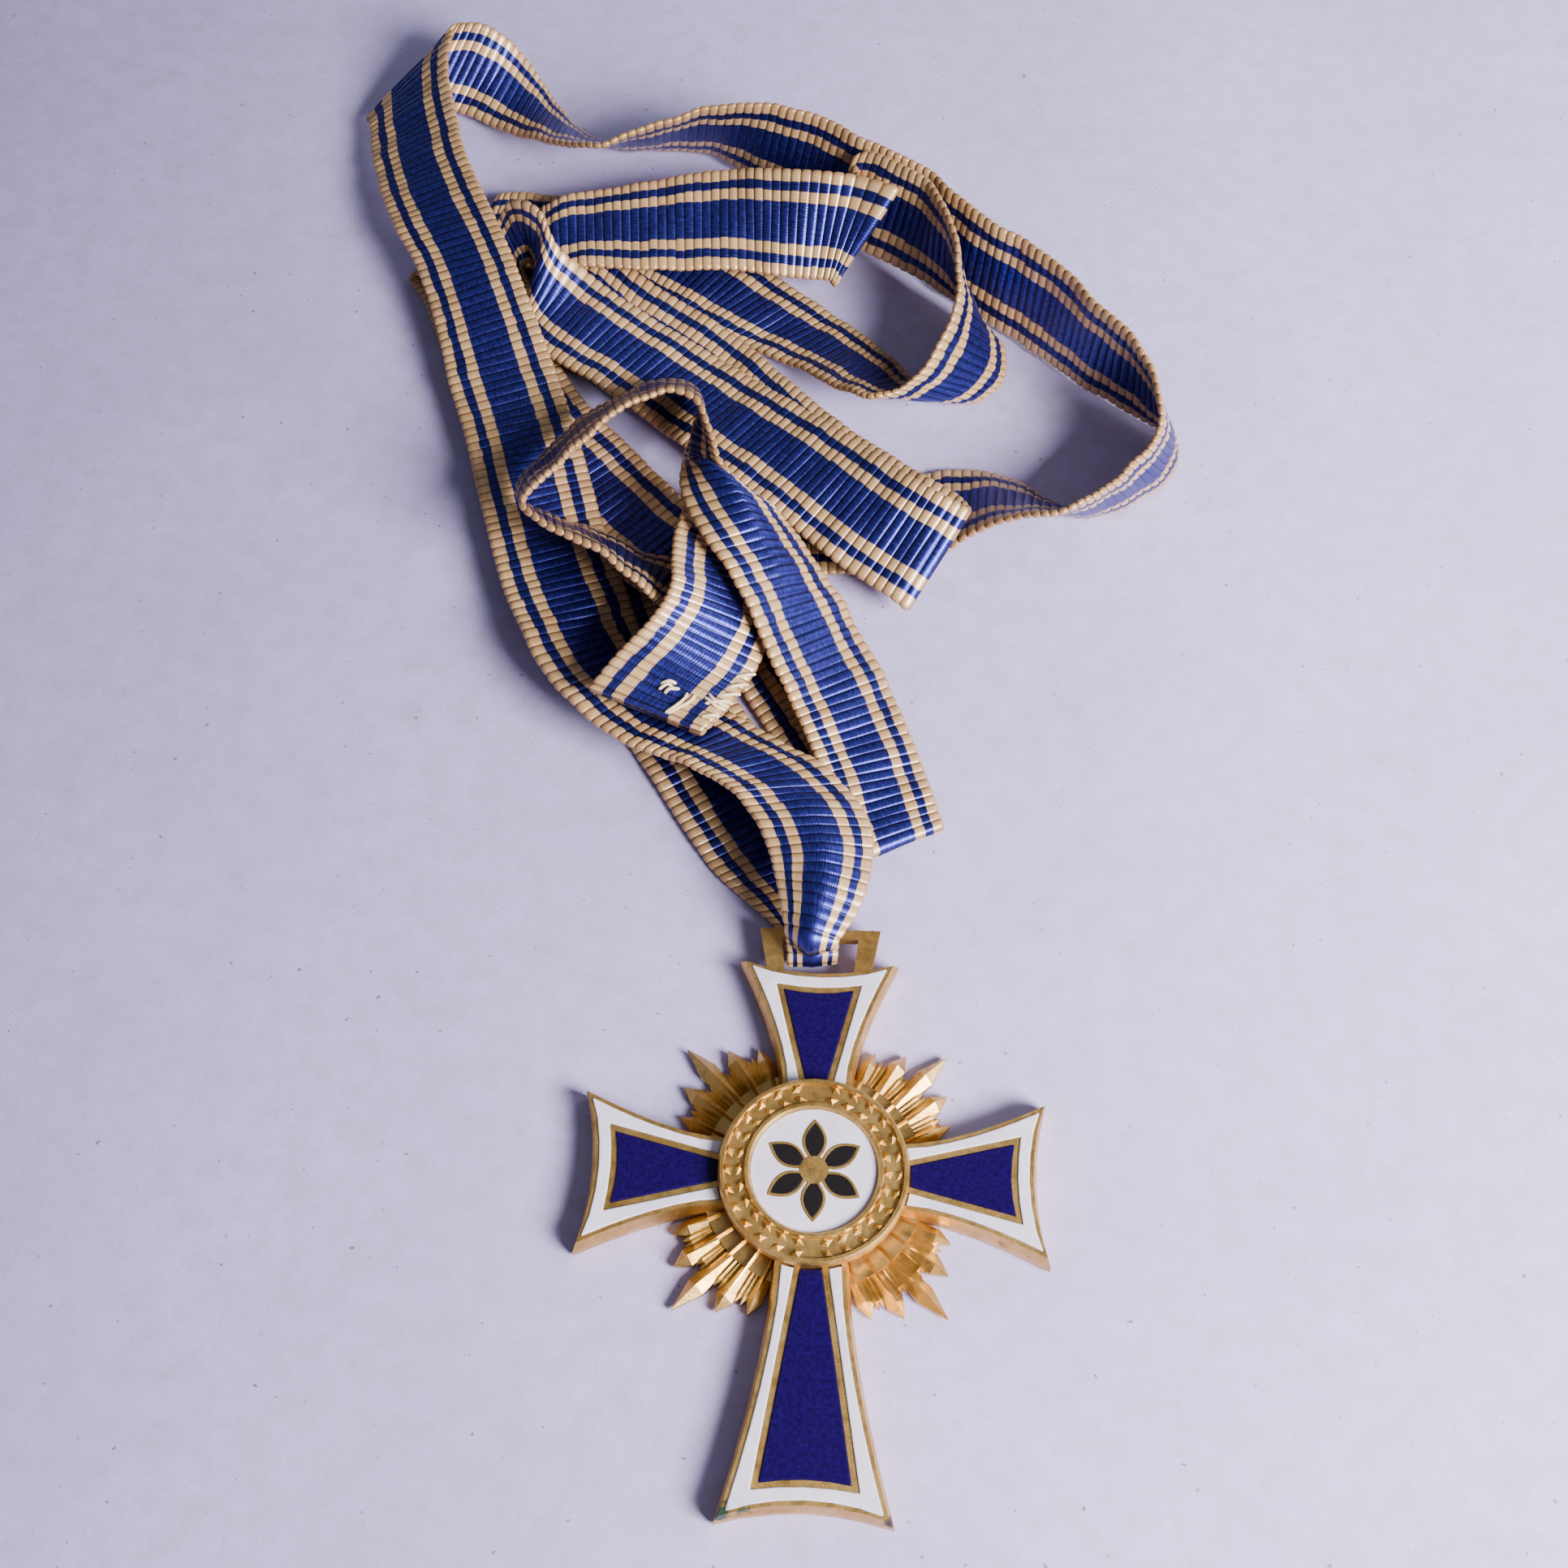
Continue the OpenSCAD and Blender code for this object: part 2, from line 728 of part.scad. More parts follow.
// Fold at the far left tip
tip_fold = [
    [-35, 64.2, 3.7, 42, 23, 12.6, 0],
    [-32.2, 64.8, 3.7, 53, 34, 10.3, 0],
    [-29.9, 65, 3.73, 51, 39, 9.5, 0],
    [-27.3, 64.3, 3, 55, 30, 8.7, 0],
    [-24.8, 62.7, 2.05, 67, 12, 8.3, 0],
    [-22, 59.8, 2.08, 80, -14, 9.2, 0],
    [-18.8, 56, 3.23, 89, -31, 9.8, 0]
];
// Stretch that stands on its edge across the top and down to the right
strand_f = [
    [-15.5, 53.4, 4.3, 95, -41, 10.9, 0],
    [-12.5, 53.4, 4.55, 95, -50, 10.3, 0],
    [-8.8, 54, 4.8, 98, -58],
    [-4.8, 54.4, 5.11, 104, -66],
    [-0.5, 53.1, 5.44, 131, -78],
    [2.9, 51.4, 5.46, -166, -79],
    [6.2, 49.5, 5.38, -143, -75],
    [9.5, 47, 5.38, -145, -75],
    [12.7, 44.9, 5.35, -131, -74],
    [15.9, 42.3, 5.22, -119, -69],
    [18.9, 38.7, 5.35, -122, -74],
    [21.9, 35.6, 5.38, -117, -75],
    [25, 33.1, 5.33, -111, -73],
    [28.3, 29.7, 5.42, -114, -77],
    [31.3, 25.8, 5.54, -146, -86],
    [34.2, 22.9, 5.55, 25, -88]
];
// Turn at the far right, and back to the left
right_turn = [
    [36.5, 19.9, 5.23, 39, -75, 9.7, 0],
    [37.5, 17.6, 5.05, 48, -64],
    [37.5, 15.5, 4.85, 48, -58, 9.7, 0],
    [36.5, 13.3, 4.7, 44, -56, 9.7, 0],
    [34.5, 11.1, 4.67, 44, -56, 9.4, 0],
    [31.8, 9, 4.78, 55, -58, 9.5, 0],
    [28.8, 7.7, 4.78, 69, -57, 9.6, 0],
    [26.2, 8.3, 4.5, 78, -45],
    [24, 9.6, 3.67, 80, -36]
];
// Stretch that twists flat and ends at the sewn ends
strand_n = [
    [21.4, 10.6, 2.6, 82, -24],
    [18.4, 10.6, 1.4, 86, -10],
    [15, 9.9, 0.7, 90, -2],
    [11.4, 9.2, 0.55, 88, 0],
    [8, 8.9, 0.55, 88, 0],
    [4.6, 9, 0.6, 96, 0],
    [1.8, 8.5, 1.1, 124, 5, 9.2, 0],
    [-0.8, 6.8, 3.2, 152, 25],
    [-2, 3.5, 5.1, 178, 32],
    [-2.2, -0.4, 6.6, 186, 33],
    [-2.3, -4.2, 7, 178, 33],
    [-3.8, -7.9, 6.9, 165, 27],
    [-6.1, -11, 6.8, 157, 16],
    [-8.3, -13.9, 6.75, 160, 8]
];

ROUTE = concat(
    seam, left_loop, crossing, crossing_fold, strand_p, strand_d, strand_j, tongue_fold,
    strand_k, strand_e, top_fold, strand_g, strand_h, corner_fold, strand_b, slot_pass,
    strand_a, strand_c, tip_fold, strand_f, right_turn, strand_n
);

// Direction across the ribbon at a row, from its first edge to its second
function across(row) = [
    cos(row[3]) * cos(row[4]),
    sin(row[3]) * cos(row[4]),
    sin(row[4])
];

// Full row: both edges and the crease, as one vector
function full_row(row) =
    let(
        half = (len(row) > 5 ? row[5] : ribbon_w) / 2 * across(row),
        c = [row[0], row[1], row[2]]
    )
    concat(c - half, c + half, [len(row) > 6 ? row[6] : 0]);

function edge_a(v) = [v[0], v[1], v[2]];
function edge_b(v) = [v[3], v[4], v[5]];
function unit(v) = v / norm(v);

// Spacing of two rows for a centripetal curve, from the mean step of both edges
function knot(a, b) =
    sqrt(max((norm(edge_a(b) - edge_a(a)) + norm(edge_b(b) - edge_b(a))) / 2, 0.001));
function blend(a, b, ta, tb, t) = ((tb - t) * a + (t - ta) * b) / (tb - ta);

// Point at the fraction u between the second and the third of four rows
function curve(p, u) =
    let(
        t1 = knot(p[0], p[1]),
        t2 = t1 + knot(p[1], p[2]),
        t3 = t2 + knot(p[2], p[3]),
        t = t1 + (t2 - t1) * u,
        a1 = blend(p[0], p[1], 0, t1, t),
        a2 = blend(p[1], p[2], t1, t2, t),
        a3 = blend(p[2], p[3], t2, t3, t),
        b1 = blend(a1, a2, 0, t2, t),
        b2 = blend(a2, a3, t1, t3, t)
    )
    blend(b1, b2, t1, t2, t);

// Rows with one more at each end, so that every gap has four
rows = [for (row = ROUTE) full_row(row)];
last = len(rows) - 1;
padded = concat([2 * rows[0] - rows[1]], rows, [2 * rows[last] - rows[last - 1]]);

stations = concat(
    [
        for (k = [1:last])
            for (s = [0:route_steps - 1])
                curve([for (i = [0:3]) padded[k - 1 + i]], s / route_steps)
    ],
    [rows[last]]
);
count = len(stations);

// Middle of the ribbon at a station, and the direction along it
function middle(i) = (edge_a(stations[i]) + edge_b(stations[i])) / 2;
function along(i) = unit(middle(min(i + 1, count - 1)) - middle(max(i - 1, 0)));

// Section of the ribbon at a station: three points on one face, three on the other
function section(i) =
    let(
        here = stations[i],
        a = edge_a(here) + centring,
        b = edge_b(here) + centring,
        n = unit(cross(along(i), unit(b - a))),
        c = (a + b) / 2 - here[6] * n,
        lift = ribbon_t / 2 * n
    )
    [a + lift, c + lift, b + lift, b - lift, c - lift, a - lift];

// Ribbon: one strip along the route, closed at both cut ends
module ribbon() {
    ring = 6;
    points = [for (i = [0:count - 1]) each section(i)];
    sides = [
        for (i = [0:count - 2])
            for (j = [0:ring - 1])
                let(a = i * ring + j, b = i * ring + (j + 1) % ring)
                each [[a, b, b + ring], [a, b + ring, a + ring]]
    ];
    start = [[0, 5, 4], [0, 4, 1], [1, 4, 3], [1, 3, 2]];
    base = (count - 1) * ring;
    end = [for (f = start) [for (k = [2:-1:0]) base + f[k]]];
    color("#2b45a8")
        polyhedron(points, concat(start, sides, end));
}

cross();
ray_star();
white_enamel(ARMS[0]);  // white_enamel_top
white_enamel(ARMS[1]);  // white_enamel_left
white_enamel(ARMS[2]);  // white_enamel_bottom
white_enamel(ARMS[3]);  // white_enamel_right
blue_enamel(ARMS[0]);  // blue_enamel_top
blue_enamel(ARMS[1]);  // blue_enamel_left
blue_enamel(ARMS[2]);  // blue_enamel_bottom
blue_enamel(ARMS[3]);  // blue_enamel_right
medallion_ring();
medallion_field();
rosette_frame();
rosette_enamel();
ribbon();
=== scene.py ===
import math

import bpy
import numpy as np
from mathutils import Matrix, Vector


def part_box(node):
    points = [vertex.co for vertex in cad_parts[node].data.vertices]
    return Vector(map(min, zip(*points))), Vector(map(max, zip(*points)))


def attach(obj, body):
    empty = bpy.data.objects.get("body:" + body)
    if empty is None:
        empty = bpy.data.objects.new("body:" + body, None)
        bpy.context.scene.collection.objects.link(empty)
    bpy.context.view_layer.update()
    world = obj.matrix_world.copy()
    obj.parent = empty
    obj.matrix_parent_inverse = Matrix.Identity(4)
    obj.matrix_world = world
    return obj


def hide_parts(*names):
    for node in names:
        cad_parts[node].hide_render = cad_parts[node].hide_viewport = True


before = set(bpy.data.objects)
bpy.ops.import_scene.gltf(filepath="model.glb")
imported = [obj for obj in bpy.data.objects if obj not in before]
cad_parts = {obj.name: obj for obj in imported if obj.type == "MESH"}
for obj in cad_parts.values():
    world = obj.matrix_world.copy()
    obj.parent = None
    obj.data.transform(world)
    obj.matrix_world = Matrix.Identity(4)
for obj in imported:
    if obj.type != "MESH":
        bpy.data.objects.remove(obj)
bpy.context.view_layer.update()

MM = 0.001

# The route is in the source's own coordinates. The middle of the disc, at CROSS_AT there, gives
# how far they are shifted here.
CROSS_AT = (5.2, -51.4)
field_low, field_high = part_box("medallion_field")
SHIFT = np.array([
    (field_low.x + field_high.x) / 2 / MM - CROSS_AT[0],
    (field_low.y + field_high.y) / 2 / MM - CROSS_AT[1],
    0.0,
])

# Camera: place in the source's millimetres, tilt and focal length that give the photograph's frame
CAMERA_AT = (3.0, -97.0, 143.0)
CAMERA_TILT = 29.2
FOCAL_PIXELS = 2411
FRAME_PIXELS = 1932
SENSOR_WIDTH = 36

camera = bpy.data.objects.new("camera", bpy.data.cameras.new("camera"))
bpy.context.scene.collection.objects.link(camera)
camera.location = (np.array(CAMERA_AT) + SHIFT) * MM
camera.rotation_euler = (math.radians(CAMERA_TILT), 0, 0)
camera.data.sensor_width = SENSOR_WIDTH
camera.data.lens = SENSOR_WIDTH * FOCAL_PIXELS / FRAME_PIXELS
camera.data.clip_start = 0.01
camera.data.clip_end = 10
bpy.context.scene.camera = camera

# Route of the ribbon, a row for each section, as in the source: x, y, z of the middle of the
# ribbon in millimetres, azimuth and elevation of the line across it in degrees, then width
# and crease depth where the ribbon is gathered.
ROUTE = (
    # Cut end that lies under the other end, where both are sewn together
    (-8.4, -13.6, 5.7, 160, 8),
    (-6.3, -10.8, 5.65, 158, 16),
    (-4.5, -7.9, 5.4, 165, 25),
    (-3.2, -5.2, 5.3, 180, 31),
    (-3.9, -2.2, 5.4, 218, 34),
    # Loop that stands on its edge at the left, and back over itself
    (-6.8, -0.5, 5.8, 255, 36),
    (-9.6, 0.7, 6.5, 272, 41),
    (-12.9, 2.6, 7.35, 279, 43),
    (-15.9, 3.9, 7.45, 282, 46),
    (-18.5, 5.3, 7.55, 284, 46),
    (-19.7, 6.8, 7.55, 284, 45),
    (-19.3, 8.8, 7.45, 285, 44),
    (-17.1, 11.6, 7.45, 283, 42),
    (-14.8, 15, 7.15, 282, 41),
    (-12, 17.8, 6.85, 280, 45),
    (-9.3, 19.5, 6.95, 277, 44),
    (-6.9, 20, 6.95, 273, 44),
    (-5, 19.2, 6.95, 274, 44),
    # Creased stretch that climbs over the sewn ends and slants down to the right
    (-4.2, 17, 6.8, 278, 40),
    (-3.9, 13.4, 6.6, 292, 36, 8.6, -1.2),
    (-3.2, 10.6, 6.7, 316, 20, 7.8, -2.2),
    (-2.2, 7.6, 6.9, 352, -4, 7.6, -2.4),
    (-0.4, 4.3, 6.9, 22, -20, 8.6, -1.6),
    (2.2, 0.4, 6.1, 33, -27, 9.4, -0.8),
    (4.2, -2.8, 4.85, 36, -23, 9.8, -0.2),
    (5.8, -6.1, 3.8, 37, -18, 9.6, 0),
    (7.7, -9.9, 2.95, 30, -13, 9.2, 0),
    (9.1, -13.6, 2.6, 25, -10, 8.8, 0),
    (10.3, -17, 2.42, 19, -9, 8.6, 0),
    (11.3, -20.7, 2.35, 21, -8, 8.6, 0),
    # Fold beside the top of the suspension loop
    (12.1, -24, 2.27, 27, -7, 8.9, 0),
    # Stretch that runs back to the left, under the crossing
    (11.8, -22.9, 0.85, 25, -1, 8.9, 0),
    (11.4, -21.6, 0.62, 27, 0, 9.2, 0),
    (10.3, -19.1, 0.55, 29, 0, 9.6, 0),
    (8.4, -14.4, 0.55, 32, 0),
    (6, -10, 0.6, 36, 0),
    (3.2, -5.4, 0.85, 38, -3),
    (0, -1.3, 1.2, 42, -7),
    (-3.8, 2.8, 1.35, 46, -8),
    # Stretch up the left side, ending in a small arch
    (-7, 5.6, 1.55, 46, -2),
    (-10, 8.4, 1.7, 45, -1),
    (-12.9, 11.7, 1.65, 42, 0),
    (-16.1, 15.5, 1.65, 38, 0),
    (-19.4, 19.6, 1.65, 33, 0),
    (-21.8, 23.8, 1.65, 29, 0, 9.6, 0),
    (-23.9, 28.4, 1.65, 24, 0, 9.4, 0),
    (-25.4, 33.6, 1.75, 16, -1, 9.2, 0),
    (-24.6, 37.2, 2.6, -7, -17, 6.8, 0),
    (-23.3, 40, 4.1, -52, -34, 4.8, 0),
    (-22.2, 40, 5.7, -56, -62, 6.2, 0),
    (-21.3, 39.5, 6.2, -80, -76, 6.8, 0),
    (-20.2, 37.8, 6.1, -116, -68, 6.8, 0),
    # Long slanting stretch down to the right
    (-20, 34.6, 4.9, -122, -36, 7.4, 0),
    (-18.2, 32.6, 3.5, -124, -8, 9.2, 0),
    (-15.3, 30.2, 3.1, -127, -2, 9.5, 0.2),
    (-12, 28, 2.65, -130, 0, 9.4, 0.1),
    (-8.5, 25.4, 2.4, -133, 0, 9.6, 0),
    (-4.6, 22, 2.5, -134, 0),
    (-0.8, 18.2, 3.4, -134, -3),
    (3.6, 13.9, 4.3, -134, -8),
    (7.4, 10.1, 4.7, -134, -16),
    (10.8, 6.7, 5, -132, -23),
    (13.2, 4.8, 4.95, -128, -25),
    (15.1, 3.5, 4.8, -127, -25, 10.2, 0),
    # Fold at the lower tip of the slanting stretches
    (16.4, 2.9, 4.2, -125, -25, 10.4, 0),
    # Slanting stretch back to the upper left, beneath the last one
    (15.3, 5.3, 3.47, -129, -25, 10.2, 0),
    (12.6, 7.2, 3.47, -128, -20, 10.5, 0),
    (9.3, 10.4, 3.3, -129, -12, 10.3, 0),
    (5.2, 14.6, 3.05, -131, -5),
    (0.5, 20.5, 2, -130, -5),
    (-3.6, 25.7, 1.35, -129, -3),
    (-7.9, 29.5, 1.38, -128, -4),
    (-12.2, 32.6, 1.5, -122, -7),
    (-15.8, 36.1, 1.8, -112, -10),
    (-18.4, 37.9, 1.95, -98, -9, 10.4, 0),
    (-20.1, 39.7, 2.4, -86, -12, 11.2, 0),
    # Short stretch across the top, leaning back
    (-19.2, 41.3, 3.7, -86, -8, 8.4, 0),
    (-17.4, 42, 3.9, -86, -8, 8.6, 0),
    (-14.5, 42.3, 4, -87, -8, 9, 0),
    (-11.4, 42.3, 4.2, -88, -10, 9.6, 0),
    (-7, 42.6, 4.4, -89, -16),
    (-1.6, 42.4, 5, -90, -25),
    (2.6, 41.2, 5.8, -92, -36),
    (6.2, 40.4, 6.2, -100, -42),
    (8.8, 39.8, 6.4, -112, -42),
    # Double fold at the right end of the top stretch
    (10.7, 38.7, 6.4, -136, -40, 10.9, 0),
    (8.7, 41.7, 5.25, -136, -50, 8.8, 0),
    (8.1, 43.6, 5.1, -136, -53, 8.8, 0),
    (8, 44.8, 5.3, -135, -56, 9, 0),
    # Stretch that turns on its edge and comes down at the right
    (9.7, 44.5, 6.05, -132, -60, 9.1, 0),
    (12.5, 42.4, 6.4, -129, -61, 9.3, 0),
    (15.5, 40.1, 6.5, -120, -67, 9.3, 0),
    (18, 36.9, 6.5, -90, -78, 9, 0),
    (19.5, 33.7, 6.35, 20, -80, 8.8, 0),
    (20.4, 31.2, 5.85, 32, -67, 9, 0),
    (21, 28.4, 5.1, 24, -53, 9.5, 0),
    (20.5, 25.7, 4.4, 18, -44, 9.8, 0),
    (19, 23.2, 3.85, 19, -37, 9.8, 0),
    (16.5, 21.4, 3.95, 27, -38, 9.3, 0),
    (13.8, 21.4, 4.1, 38, -35, 9.2, 0),
    # Slanting stretch to the upper left, close to the table
    (10.6, 24.9, 3, 49, -23, 9.1, 0),
    (7.1, 29.3, 1.35, 41, -8, 8.1, 0),
    (3.4, 32.5, 0.62, 37, 0, 8.6, 0),
    (-0.1, 35.1, 0.55, 41, 0, 9.5, 0),
    (-3.4, 37.8, 0.55, 49, 0),
    (-7.3, 40.6, 0.57, 62, 0, 10.5, 0),
    (-12, 43.2, 0.6, 76, 0),
    (-17, 44.2, 0.75, 84, 0),
    (-20.4, 44.4, 1.3, 86, 0),
    (-23.2, 44.3, 1.75, 84, 0),
    (-26.2, 44.1, 1.75, 76, 0, 10.4, 0),
    # Fold at the upper left corner
    (-29, 43.6, 1.2, 52, 0, 12.4, 0),
    # Lowest stretch, down the left side to the suspension loop
    (-28.6, 41, 0.6, 30, 0, 10.8, 0),
    (-27.6, 38, 0.55, 20, 0, 9.4, 0),
    (-25.8, 33.6, 0.55, 19, 0, 9.6, 0),
    (-23.4, 27.4, 0.55, 19, 0),
    (-20.3, 20.4, 0.55, 21, 0),
    (-16.7, 13.6, 0.55, 21, 0),
    (-13.6, 7, 0.55, 16, 0),
    (-11.4, 0.5, 0.55, 15, 0),
    (-9.2, -5, 0.55, 24, 0),
    (-6.4, -10, 0.55, 30, 0),
    (-3.6, -14.6, 0.55, 30, 0),
    (-1, -19.4, 0.55, 30, 0, 9.6, 0),
    (1.7, -24, 0.55, 26, 0, 9, 0),
    (4, -27.6, 0.55, 15, 0, 7.6, 0),
    (4.9, -30.6, 0.55, 2, 0, 5.2, 0),
    # Creased turn through the slot of the suspension loop
    (5.25, -32.9, 0.7, 2, 0, 4, 0.1),
    (5.2, -34, 1.75, 5, 0, 3.9, 0.3),
    (5.25, -33.1, 3, 0, 0, 4, 0.6),
    # Stretch that leaves the suspension loop over its bar
    (5.1, -33.3, 4.3, -15, 0, 4, 1),
    (5.8, -29.5, 5.2, -13, -2, 7, 1.2),
    (5.9, -25.9, 5.4, 4, -8, 8.5, 0.8),
    (4.9, -22.7, 5.35, 6, -9, 9.2, 0.4),
    (2.4, -19.3, 5.05, 16, -10, 8.8, 0),
    (-0.7, -16.9, 4.45, 26, -13, 8.2, 0),
    (-3.8, -14.7, 3.7, 38, -17, 8.4, 0),
    (-7.1, -12.7, 3.38, 46, -18, 9.3, 0),
    # Long stretch up the left side
    (-11.4, -8.6, 3.3, 40, -18),
    (-13.7, -5.1, 3.15, 28, -14),
    (-15.1, -1.6, 3, 20, -8),
    (-16.4, 1.6, 2.85, 18, 0),
    (-17.6, 5.4, 2.75, 16, 0),
    (-18.7, 9.4, 2.75, 15, 0),
    (-19.9, 13.8, 2.75, 15, 1),
    (-21.5, 19.5, 2.8, 17, 2, 9.8, 0),
    (-23.4, 25.1, 3.4, 14, 8, 9.7, 0),
    (-25.3, 31.1, 4.45, 12, 15, 9.2, 0),
    (-27.6, 37.4, 5.4, 3, 19, 9.4, 0),
    (-30.1, 42.8, 5.5, 4, 20, 9.8, 0),
    (-32.4, 48.9, 5, 6, 24, 9.8, 0),
    (-34, 55.2, 4.5, 8, 27),
    (-34.9, 60.1, 4.25, 20, 28),
    # Fold at the far left tip
    (-35, 64.2, 3.7, 42, 23, 12.6, 0),
    (-32.2, 64.8, 3.7, 53, 34, 10.3, 0),
    (-29.9, 65, 3.73, 51, 39, 9.5, 0),
    (-27.3, 64.3, 3, 55, 30, 8.7, 0),
    (-24.8, 62.7, 2.05, 67, 12, 8.3, 0),
    (-22, 59.8, 2.08, 80, -14, 9.2, 0),
    (-18.8, 56, 3.23, 89, -31, 9.8, 0),
    # Stretch that stands on its edge across the top and down to the right
    (-15.5, 53.4, 4.3, 95, -41, 10.9, 0),
    (-12.5, 53.4, 4.55, 95, -50, 10.3, 0),
    (-8.8, 54, 4.8, 98, -58),
    (-4.8, 54.4, 5.11, 104, -66),
    (-0.5, 53.1, 5.44, 131, -78),
    (2.9, 51.4, 5.46, -166, -79),
    (6.2, 49.5, 5.38, -143, -75),
    (9.5, 47, 5.38, -145, -75),
    (12.7, 44.9, 5.35, -131, -74),
    (15.9, 42.3, 5.22, -119, -69),
    (18.9, 38.7, 5.35, -122, -74),
    (21.9, 35.6, 5.38, -117, -75),
    (25, 33.1, 5.33, -111, -73),
    (28.3, 29.7, 5.42, -114, -77),
    (31.3, 25.8, 5.54, -146, -86),
    (34.2, 22.9, 5.55, 25, -88),
    # Turn at the far right, and back to the left
    (36.5, 19.9, 5.23, 39, -75, 9.7, 0),
    (37.5, 17.6, 5.05, 48, -64),
    (37.5, 15.5, 4.85, 48, -58, 9.7, 0),
    (36.5, 13.3, 4.7, 44, -56, 9.7, 0),
    (34.5, 11.1, 4.67, 44, -56, 9.4, 0),
    (31.8, 9, 4.78, 55, -58, 9.5, 0),
    (28.8, 7.7, 4.78, 69, -57, 9.6, 0),
    (26.2, 8.3, 4.5, 78, -45),
    (24, 9.6, 3.67, 80, -36),
    # Stretch that twists flat and ends at the sewn ends
    (21.4, 10.6, 2.6, 82, -24),
    (18.4, 10.6, 1.4, 86, -10),
    (15, 9.9, 0.7, 90, -2),
    (11.4, 9.2, 0.55, 88, 0),
    (8, 8.9, 0.55, 88, 0),
    (4.6, 9, 0.6, 96, 0),
    (1.8, 8.5, 1.1, 124, 5, 9.2, 0),
    (-0.8, 6.8, 3.2, 152, 25),
    (-2, 3.5, 5.1, 178, 32),
    (-2.2, -0.4, 6.6, 186, 33),
    (-2.3, -4.2, 7, 178, 33),
    (-3.8, -7.9, 6.9, 165, 27),
    (-6.1, -11, 6.8, 157, 16),
    (-8.3, -13.9, 6.75, 160, 8),
)

# Cloth of the ribbon, in millimetres
RIBBON_WIDTH = 10.0
CLOTH_HALF = 0.31
RIB_PITCH = 0.87
VALLEY_DEPTH = 0.17
THREAD_PITCH = 0.26
EDGE_ROUND = 0.3
# Where the sections of one rib lie, as shares of the pitch, and the least distance between two
RIB_PHASES = (0.0, 0.1, 0.27, 0.5, 0.73, 0.9)
LEAST_STEP = 0.02
# Where the points across the ribbon lie, closer together towards its edges
ACROSS = (-5.0, -4.95, -4.8, -4.5, -4.1, -3.5, -2.7, -1.8, -0.9, 0.0,
          0.9, 1.8, 2.7, 3.5, 4.1, 4.5, 4.8, 4.95, 5.0)
# How far a rib's end stands out, from which share of the half width, and the crest that adds none
SCALLOP = 0.17
SCALLOP_FROM = 0.9
SCALLOP_LEVEL = 0.6
# Slight waves in the cloth: share of the height, wave length, start, and lean across the ribbon
RIPPLE = 0.07
RIPPLES = ((1.0, 6.1, 0.0, 0.5), (0.7, 3.7, 2.1, -0.4))
# Points of the curve from one row of the route to the next, and pieces that the ribbon is made in
ROUTE_STEPS = 24
PIECES = 3

# Stripes: distance from the middle of the ribbon at which each one ends, and softness of the border
CENTRE_TO = 1.92
CREAM_TO = 2.98
STRIPE_TO = 3.86
STRIPE_SOFT = 0.05
# Distance from the middle at which the outer cream begins to turn tan
TAN_EDGE_FROM = 4.55

# Tarnish on the cross: places in the source's coordinates, and radius of each
DARK_SPOTS = [((22.5, -45.9, 2.2), 0.5), ((10.3, -75.9, 1.8), 0.5), ((-0.4, -33.9, 2.2), 0.4)]
VERDIGRIS = [((-1.4, -75.5, 2.2), 0.8), ((0.2, -75.3, 2.2), 0.5)]


def linear(r, g, b):
    """Colour as the shader wants it, from the values on a screen, 0 to 255."""
    return tuple(
        v / 255 / 12.92 if v <= 10 else ((v / 255 + 0.055) / 1.055) ** 2.4 for v in (r, g, b)
    ) + (1.0,)


ROYAL_BLUE = linear(54, 56, 160)
DEEP_BLUE = linear(22, 24, 88)
# Painted glint for some of the blue threads
BLUE_PAINTED_GLINT = linear(66, 78, 186)
NAVY_STRIPE = linear(28, 32, 104)
CREAM = linear(198, 160, 114)
SOILED_CREAM = linear(176, 134, 88)
# Painted glint for some of the cream threads
CREAM_PAINTED_GLINT = linear(236, 212, 176)
TAN = linear(158, 114, 70)
# Painted shade for the bottom of the grooves between the ribs, in the blue and in the cream
BLUE_GROOVE_SHADE = linear(6, 6, 24)
CREAM_GROOVE_SHADE = linear(84, 52, 28)
# How metallic the gloss of the silk is, kept as a grey
BLUE_SATIN = (0.8, 0.8, 0.8, 1.0)
CREAM_SATIN = (0.25, 0.25, 0.25, 1.0)

COTTON = linear(238, 222, 196)
SOILED_COTTON = linear(206, 172, 128)

GOLD = linear(196, 154, 86)
DARK_SPOT = linear(26, 20, 22)
METAL_VERDIGRIS = linear(40, 96, 76)
ENAMEL_VERDIGRIS = linear(60, 120, 100)
ENAMEL_PIT = linear(70, 60, 66)

FLOOR_PALE = linear(204, 194, 246)
FLOOR_SHADE = linear(194, 184, 236)
FLOOR_MOTTLE = linear(176, 168, 190)
FLOOR_SPECK = linear(104, 92, 96)
# Painted shade: the floor is darker on the left: by how much, and over which stretch of x in
# millimetres
FLOOR_PAINTED_SHADE = (0.57, 0.56, 0.63, 1.0)
FLOOR_PAINTED_SHADE_SPAN = (-80.0, 55.0)


